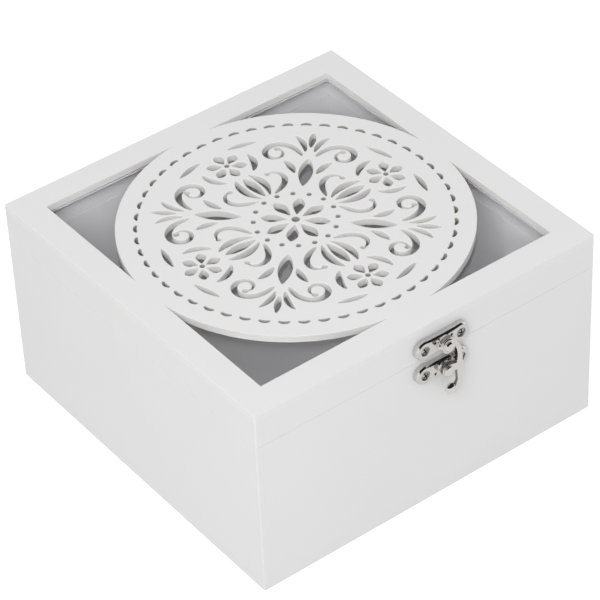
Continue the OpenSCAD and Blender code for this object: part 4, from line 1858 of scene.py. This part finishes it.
@dataclass
class ButtHinge:
    """A butt hinge on the back: two leaves with knuckles, a pin and four screws.

    The local frame has X along the pin, Z up and Y out of the back face.

    Attributes:
        across: Distance of the hinge from the middle, to the right.
        axis: Distance of the pin from the middle of the box, and its height.
        length: Length along the pin.
        leaf: Height of a leaf from the pin's axis.
        thick: Thickness of a leaf.
        face_sink: How far a leaf's outer face stays short of that.
        knuckle: Outer radius of a knuckle.
        pin: Radius of the pin.
        count: Number of knuckles.
        gap: Gap between two knuckles, and between a knuckle and the leaf or board beside it.
        screw_x: Distance of a screw from the middle of the leaf.
        screw_z: Distance of a screw from the pin's axis.
        screw_hole: Radius of a screw's hole.
        screw_sink: How far a screw's foot lies below the leaf's face.
        screw_turns: Turn of the left and the right screw, in degrees.
        corner: Rounding of a leaf's outer corners.
        edge: Rounding of a leaf's outer arrises.
        root: How near a knuckle's web comes to the pin's axis.
        bevel: Bevel of a knuckle's ends.
        pin_head: Side of a pin's head as (share of its radius, height).
        pin_brim: How much wider the head is than the pin.
    """

    across: float
    axis: Point = (102.2 * MM, 88.15 * MM)
    length: float = 25 * MM
    leaf: float = 12.5 * MM
    thick: float = 1 * MM
    face_sink: float = 0.02 * MM
    knuckle: float = 1.9 * MM
    pin: float = 0.9 * MM
    count: int = 5
    gap: float = 0.3 * MM
    screw_x: float = 7.5 * MM
    screw_z: float = 7.8 * MM
    screw_hole: float = 2.15 * MM
    screw_sink: float = 0.4 * MM
    screw_turns: Point = (35.0, 5.0)
    corner: float = 1.2 * MM
    edge: float = 0.12 * MM
    root: float = 0.15 * MM
    bevel: float = 0.15 * MM
    pin_head: tuple[Point, ...] = ((0.0, 0.6 * MM), (0.7, 0.5 * MM), (1.0, 0.25 * MM), (1.0, 0.0))
    pin_brim: float = 0.4 * MM

    def frame(self, up: int) -> Matrix:
        """The local frame, turned over for the lower leaf where up is -1."""
        place = Matrix.Translation((self.across, *self.axis))
        return place if up > 0 else place @ Matrix.Rotation(math.pi, 4, "Y")

    def add_leaf(self, mesh: Mesh, first: int, up: int) -> None:
        """Adds a leaf and its knuckles to a mesh.

        Args:
            mesh: Mesh that receives them.
            first: Number of its first knuckle.
            up: 1 for the leaf above the pin, -1 for the one below.
        """
        half, foot = self.length / 2, self.knuckle + self.gap
        run = (self.length - (self.count - 1) * self.gap) / self.count
        starts = [-half + i * (run + self.gap) for i in range(first, self.count, 2)]
        spans = [(start, start + run) for start in starts]
        line = [(half, self.leaf, self.corner), (-half, self.leaf, self.corner), (-half, foot, 0.0)]
        for start, stop in spans:
            line += [(start, foot, 0.0), (start, self.root, 0.0), (stop, self.root, 0.0), (stop, foot, 0.0)]
        line.append((half, foot, 0.0))
        corners = [p for i, p in enumerate(line) if i == 0 or p[:2] != line[i - 1][:2]]
        frame = self.frame(up)
        flat = frame @ Matrix.Translation((0, self.thick - foot, 0)) @ Matrix.Rotation(math.pi / 2, 4, "X")
        places = [(hand * self.screw_x, self.screw_z) for hand in (-1, 1)]
        holes = [ring_points(place, self.screw_hole, count=32) for place in places]
        loops = [round_corners(corners)] + holes
        CutSheet(loops, self.face_sink, self.thick, 0.0, self.edge).build(mesh, flat)
        lip, wall = self.knuckle - self.bevel, self.knuckle
        for start, stop in spans:
            rim = [(lip, start), (wall, start + self.bevel), (wall, stop - self.bevel), (lip, stop)]
            tube = [(self.pin, start), *rim, (self.pin, stop), (self.pin, start)]
            lathe(mesh, tube, frame @ Matrix.Rotation(math.pi / 2, 4, "Y"), sides=32)

    def add_pin(self, mesh: Mesh) -> None:
        """Adds the pin with its two domed heads to a mesh."""
        half, head = self.length / 2, self.pin + self.pin_brim
        end = [(head * share, half + height) for share, height in self.pin_head]
        rod = [(r, -z) for r, z in end] + end[::-1]
        lathe(mesh, rod, self.frame(1) @ Matrix.Rotation(math.pi / 2, 4, "Y"), sides=28)

    def add_screws(self, mesh: Mesh, up: int) -> None:
        """Adds the two flush screws of one leaf to a mesh."""
        out = self.thick - self.knuckle - self.gap - self.screw_sink
        for hand, turn in zip((-1, 1), self.screw_turns):
            place = self.frame(up) @ Matrix.Translation((hand * self.screw_x, out, self.screw_z))
            place = place @ Matrix.Rotation(-math.pi / 2, 4, "X")
            FLUSH_SCREW.build(mesh, place @ Matrix.Rotation(math.radians(turn), 4, "Z"))


def build_hinges() -> None:
    """Makes both hinges and their screws."""
    across = 62 * MM
    hinges = {"left": ButtHinge(-across), "right": ButtHinge(across)}
    steel, screw = [STEEL], [SCREW_STEEL, RECESS_PAINTED_SHADE]
    for name, hinge in hinges.items():
        for board, first, up, body in (("body", 0, -1, Body.BODY), ("lid", 1, 1, Body.LID)):
            mesh = bmesh.new()
            hinge.add_leaf(mesh, first, up)
            node = f"hinge_{name}_{board}_leaf"
            place_piece(f"{name}_{board}_hinge_leaf", mesh, steel, body, [node], sharp=35)
        mesh = bmesh.new()
        hinge.add_pin(mesh)
        node = f"hinge_{name}_pin"
        place_piece(f"{name}_hinge_rod", mesh, steel, Body.BODY, [node], sharp=40)
    for board, up, body in (("body", -1, Body.BODY), ("lid", 1, Body.LID)):
        mesh = bmesh.new()
        for hinge in hinges.values():
            hinge.add_screws(mesh, up)
        node = f"hinge_{board}_screws"
        place_piece(f"{board}_leaf_screws", mesh, screw, body, [node], sharp=45)


# ---- Studio ----


@dataclass
class Studio:
    """Floor, light and camera.

    Attributes:
        azimuth: Turn of the camera about Z, in degrees.
        elevation: Height of the camera above the horizon, in degrees.
        roll: Tilt of the picture, in degrees.
        distance: Distance of the camera from its target.
        target: Point that it looks at.
        lens: Focal length in mm.
        sensor: Width of the sensor in mm.
        sight: Nearest and farthest distance that the camera sees.
        level: Strength of the light from all round.
        opening: Direction of the dark opening that reflections show.
        opening_edge: Angles from there at which it starts to fade and has faded, in degrees.
        opening_level: Brightness of the opening.
        key_place: Place of the lamp.
        key_size: Width of the lamp.
        key_power: Power of the lamp in watts.
        floor_reach: Distance of the floor's edges from the middle.
        floor_low: Height of the floor, just under the box.
    """

    azimuth: float = -35.947
    elevation: float = 39.454
    roll: float = -2.672
    distance: float = 1.44787
    target: tuple[float, float, float] = (0.003142, 0.003918, 0.053826)
    lens: float = 178.14
    sensor: float = 36.0
    sight: tuple[float, float] = (0.1, 30.0)
    level: float = 0.665
    opening: tuple[float, float, float] = (0.12, -0.82, 0.56)
    opening_edge: tuple[float, float] = (46.0, 58.0)
    opening_level: float = 0.02
    key_place: tuple[float, float, float] = (-1.16, -1.12, 1.5)
    key_size: float = 1.0
    key_power: float = 21.0
    floor_reach: float = 6.0
    floor_low: float = -0.2 * MM

    def camera(self) -> None:
        """Sets up the camera."""
        a, e, t = map(math.radians, (self.azimuth, self.elevation, self.roll))
        back = Vector((math.sin(a) * math.cos(e), -math.cos(a) * math.cos(e), math.sin(e)))
        right = Vector((math.cos(a), math.sin(a), 0))
        up = back.cross(right)
        across = right * math.cos(t) + up * math.sin(t)
        above = up * math.cos(t) - right * math.sin(t)
        data = bpy.data.cameras.new("studio_camera")
        data.sensor_width = self.sensor
        data.lens = self.lens
        data.clip_start, data.clip_end = self.sight
        camera = bpy.data.objects.new("studio_camera", data)
        turn = Matrix((across, above, back)).transposed().to_4x4()
        camera.matrix_world = Matrix.Translation(Vector(self.target) + back * self.distance) @ turn
        bpy.context.collection.objects.link(camera)
        bpy.context.scene.camera = camera

    def world(self) -> None:
        """Lights the box evenly from all round, with a dark opening that only reflections show."""
        world = bpy.data.worlds.new("light_tent")
        world.use_nodes = True
        world.node_tree.nodes.clear()
        sheet = NodeSheet(world.node_tree)
        output = sheet.add("ShaderNodeOutputWorld")
        glow = sheet.add("ShaderNodeBackground")
        glow.inputs["Color"].default_value = (1, 1, 1, 1)
        where = sheet.add("ShaderNodeTexCoord").outputs["Generated"]
        aim = sheet.add("ShaderNodeVectorMath", operation="DOT_PRODUCT")
        sheet.join(where, aim.inputs[0])
        aim.inputs[1].default_value = Vector(self.opening).normalized()
        opening = sheet.add("ShaderNodeMapRange", interpolation_type="SMOOTHSTEP")
        sheet.join(aim.outputs["Value"], opening.inputs["Value"])
        full, gone = (math.cos(math.radians(angle)) for angle in self.opening_edge)
        ends = {"From Min": gone, "From Max": full, "To Min": 1.0, "To Max": self.opening_level}
        for name, value in ends.items():
            opening.inputs[name].default_value = value
        path = sheet.add("ShaderNodeLightPath")
        strength = sheet.choose(path.outputs["Is Glossy Ray"], self.level, opening.outputs["Result"])
        for ray in ("Is Camera Ray", "Is Transmission Ray"):
            strength = sheet.choose(path.outputs[ray], strength, 1.0)
        sheet.join(strength, glow.inputs["Strength"])
        sheet.join(glow.outputs["Background"], output.inputs["Surface"])
        bpy.context.scene.world = world

    def lamp(self) -> None:
        """Adds a soft square lamp that faces the box and that reflections don't show."""
        data = bpy.data.lights.new("key_softbox", "AREA")
        data.size = self.key_size
        data.energy = self.key_power
        lamp = bpy.data.objects.new("key_softbox", data)
        lamp.visible_glossy = False
        lamp.location = self.key_place
        box_middle = Vector((0, 0, 50 * MM))
        aim = box_middle - Vector(self.key_place)
        lamp.rotation_mode = "QUATERNION"
        lamp.rotation_quaternion = aim.to_track_quat("-Z", "Y")
        bpy.context.collection.objects.link(lamp)

    def floor(self) -> None:
        """Lays the floor."""
        mesh = bmesh.new()
        bmesh.ops.create_grid(mesh, x_segments=4, y_segments=4, size=self.floor_reach)
        data = bpy.data.meshes.new("studio_floor")
        mesh.to_mesh(data)
        mesh.free()
        data.materials.append(StudioFloor("white_studio_floor").material())
        floor = bpy.data.objects.new("studio_floor", data)
        floor.location = (0, 0, self.floor_low)
        bpy.context.collection.objects.link(floor)

    def build(self) -> None:
        """Makes the whole studio."""
        self.camera()
        self.world()
        self.floor()
        self.lamp()
        bpy.context.scene.view_settings.view_transform = "Standard"


def dress_solids(nodes: dict[str, bpy.types.Object]) -> None:
    """Gives a finish to each solid that is shown as it is.

    Args:
        nodes: The solids by name.
    """
    finishes: dict[str, Finish] = {"base_panel": BASE_PAINT, "glass_pane": GLASS}
    for name, finish in finishes.items():
        nodes[name].data.materials.clear()
        nodes[name].data.materials.append(finish.material())


def main() -> None:
    """Builds the finished box, its light and its camera."""
    logging.basicConfig(level=logging.INFO, format="%(name)s: %(message)s")
    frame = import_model()
    Studio().build()
    for part in (CardCase(), LidFrame(), PiercedSheet(), Latch()):
        part.build()
        log.info("%s is built", type(part).__name__)
    build_hinges()
    dress_solids(frame["nodes"])


if __name__ == "__main__":
    main()
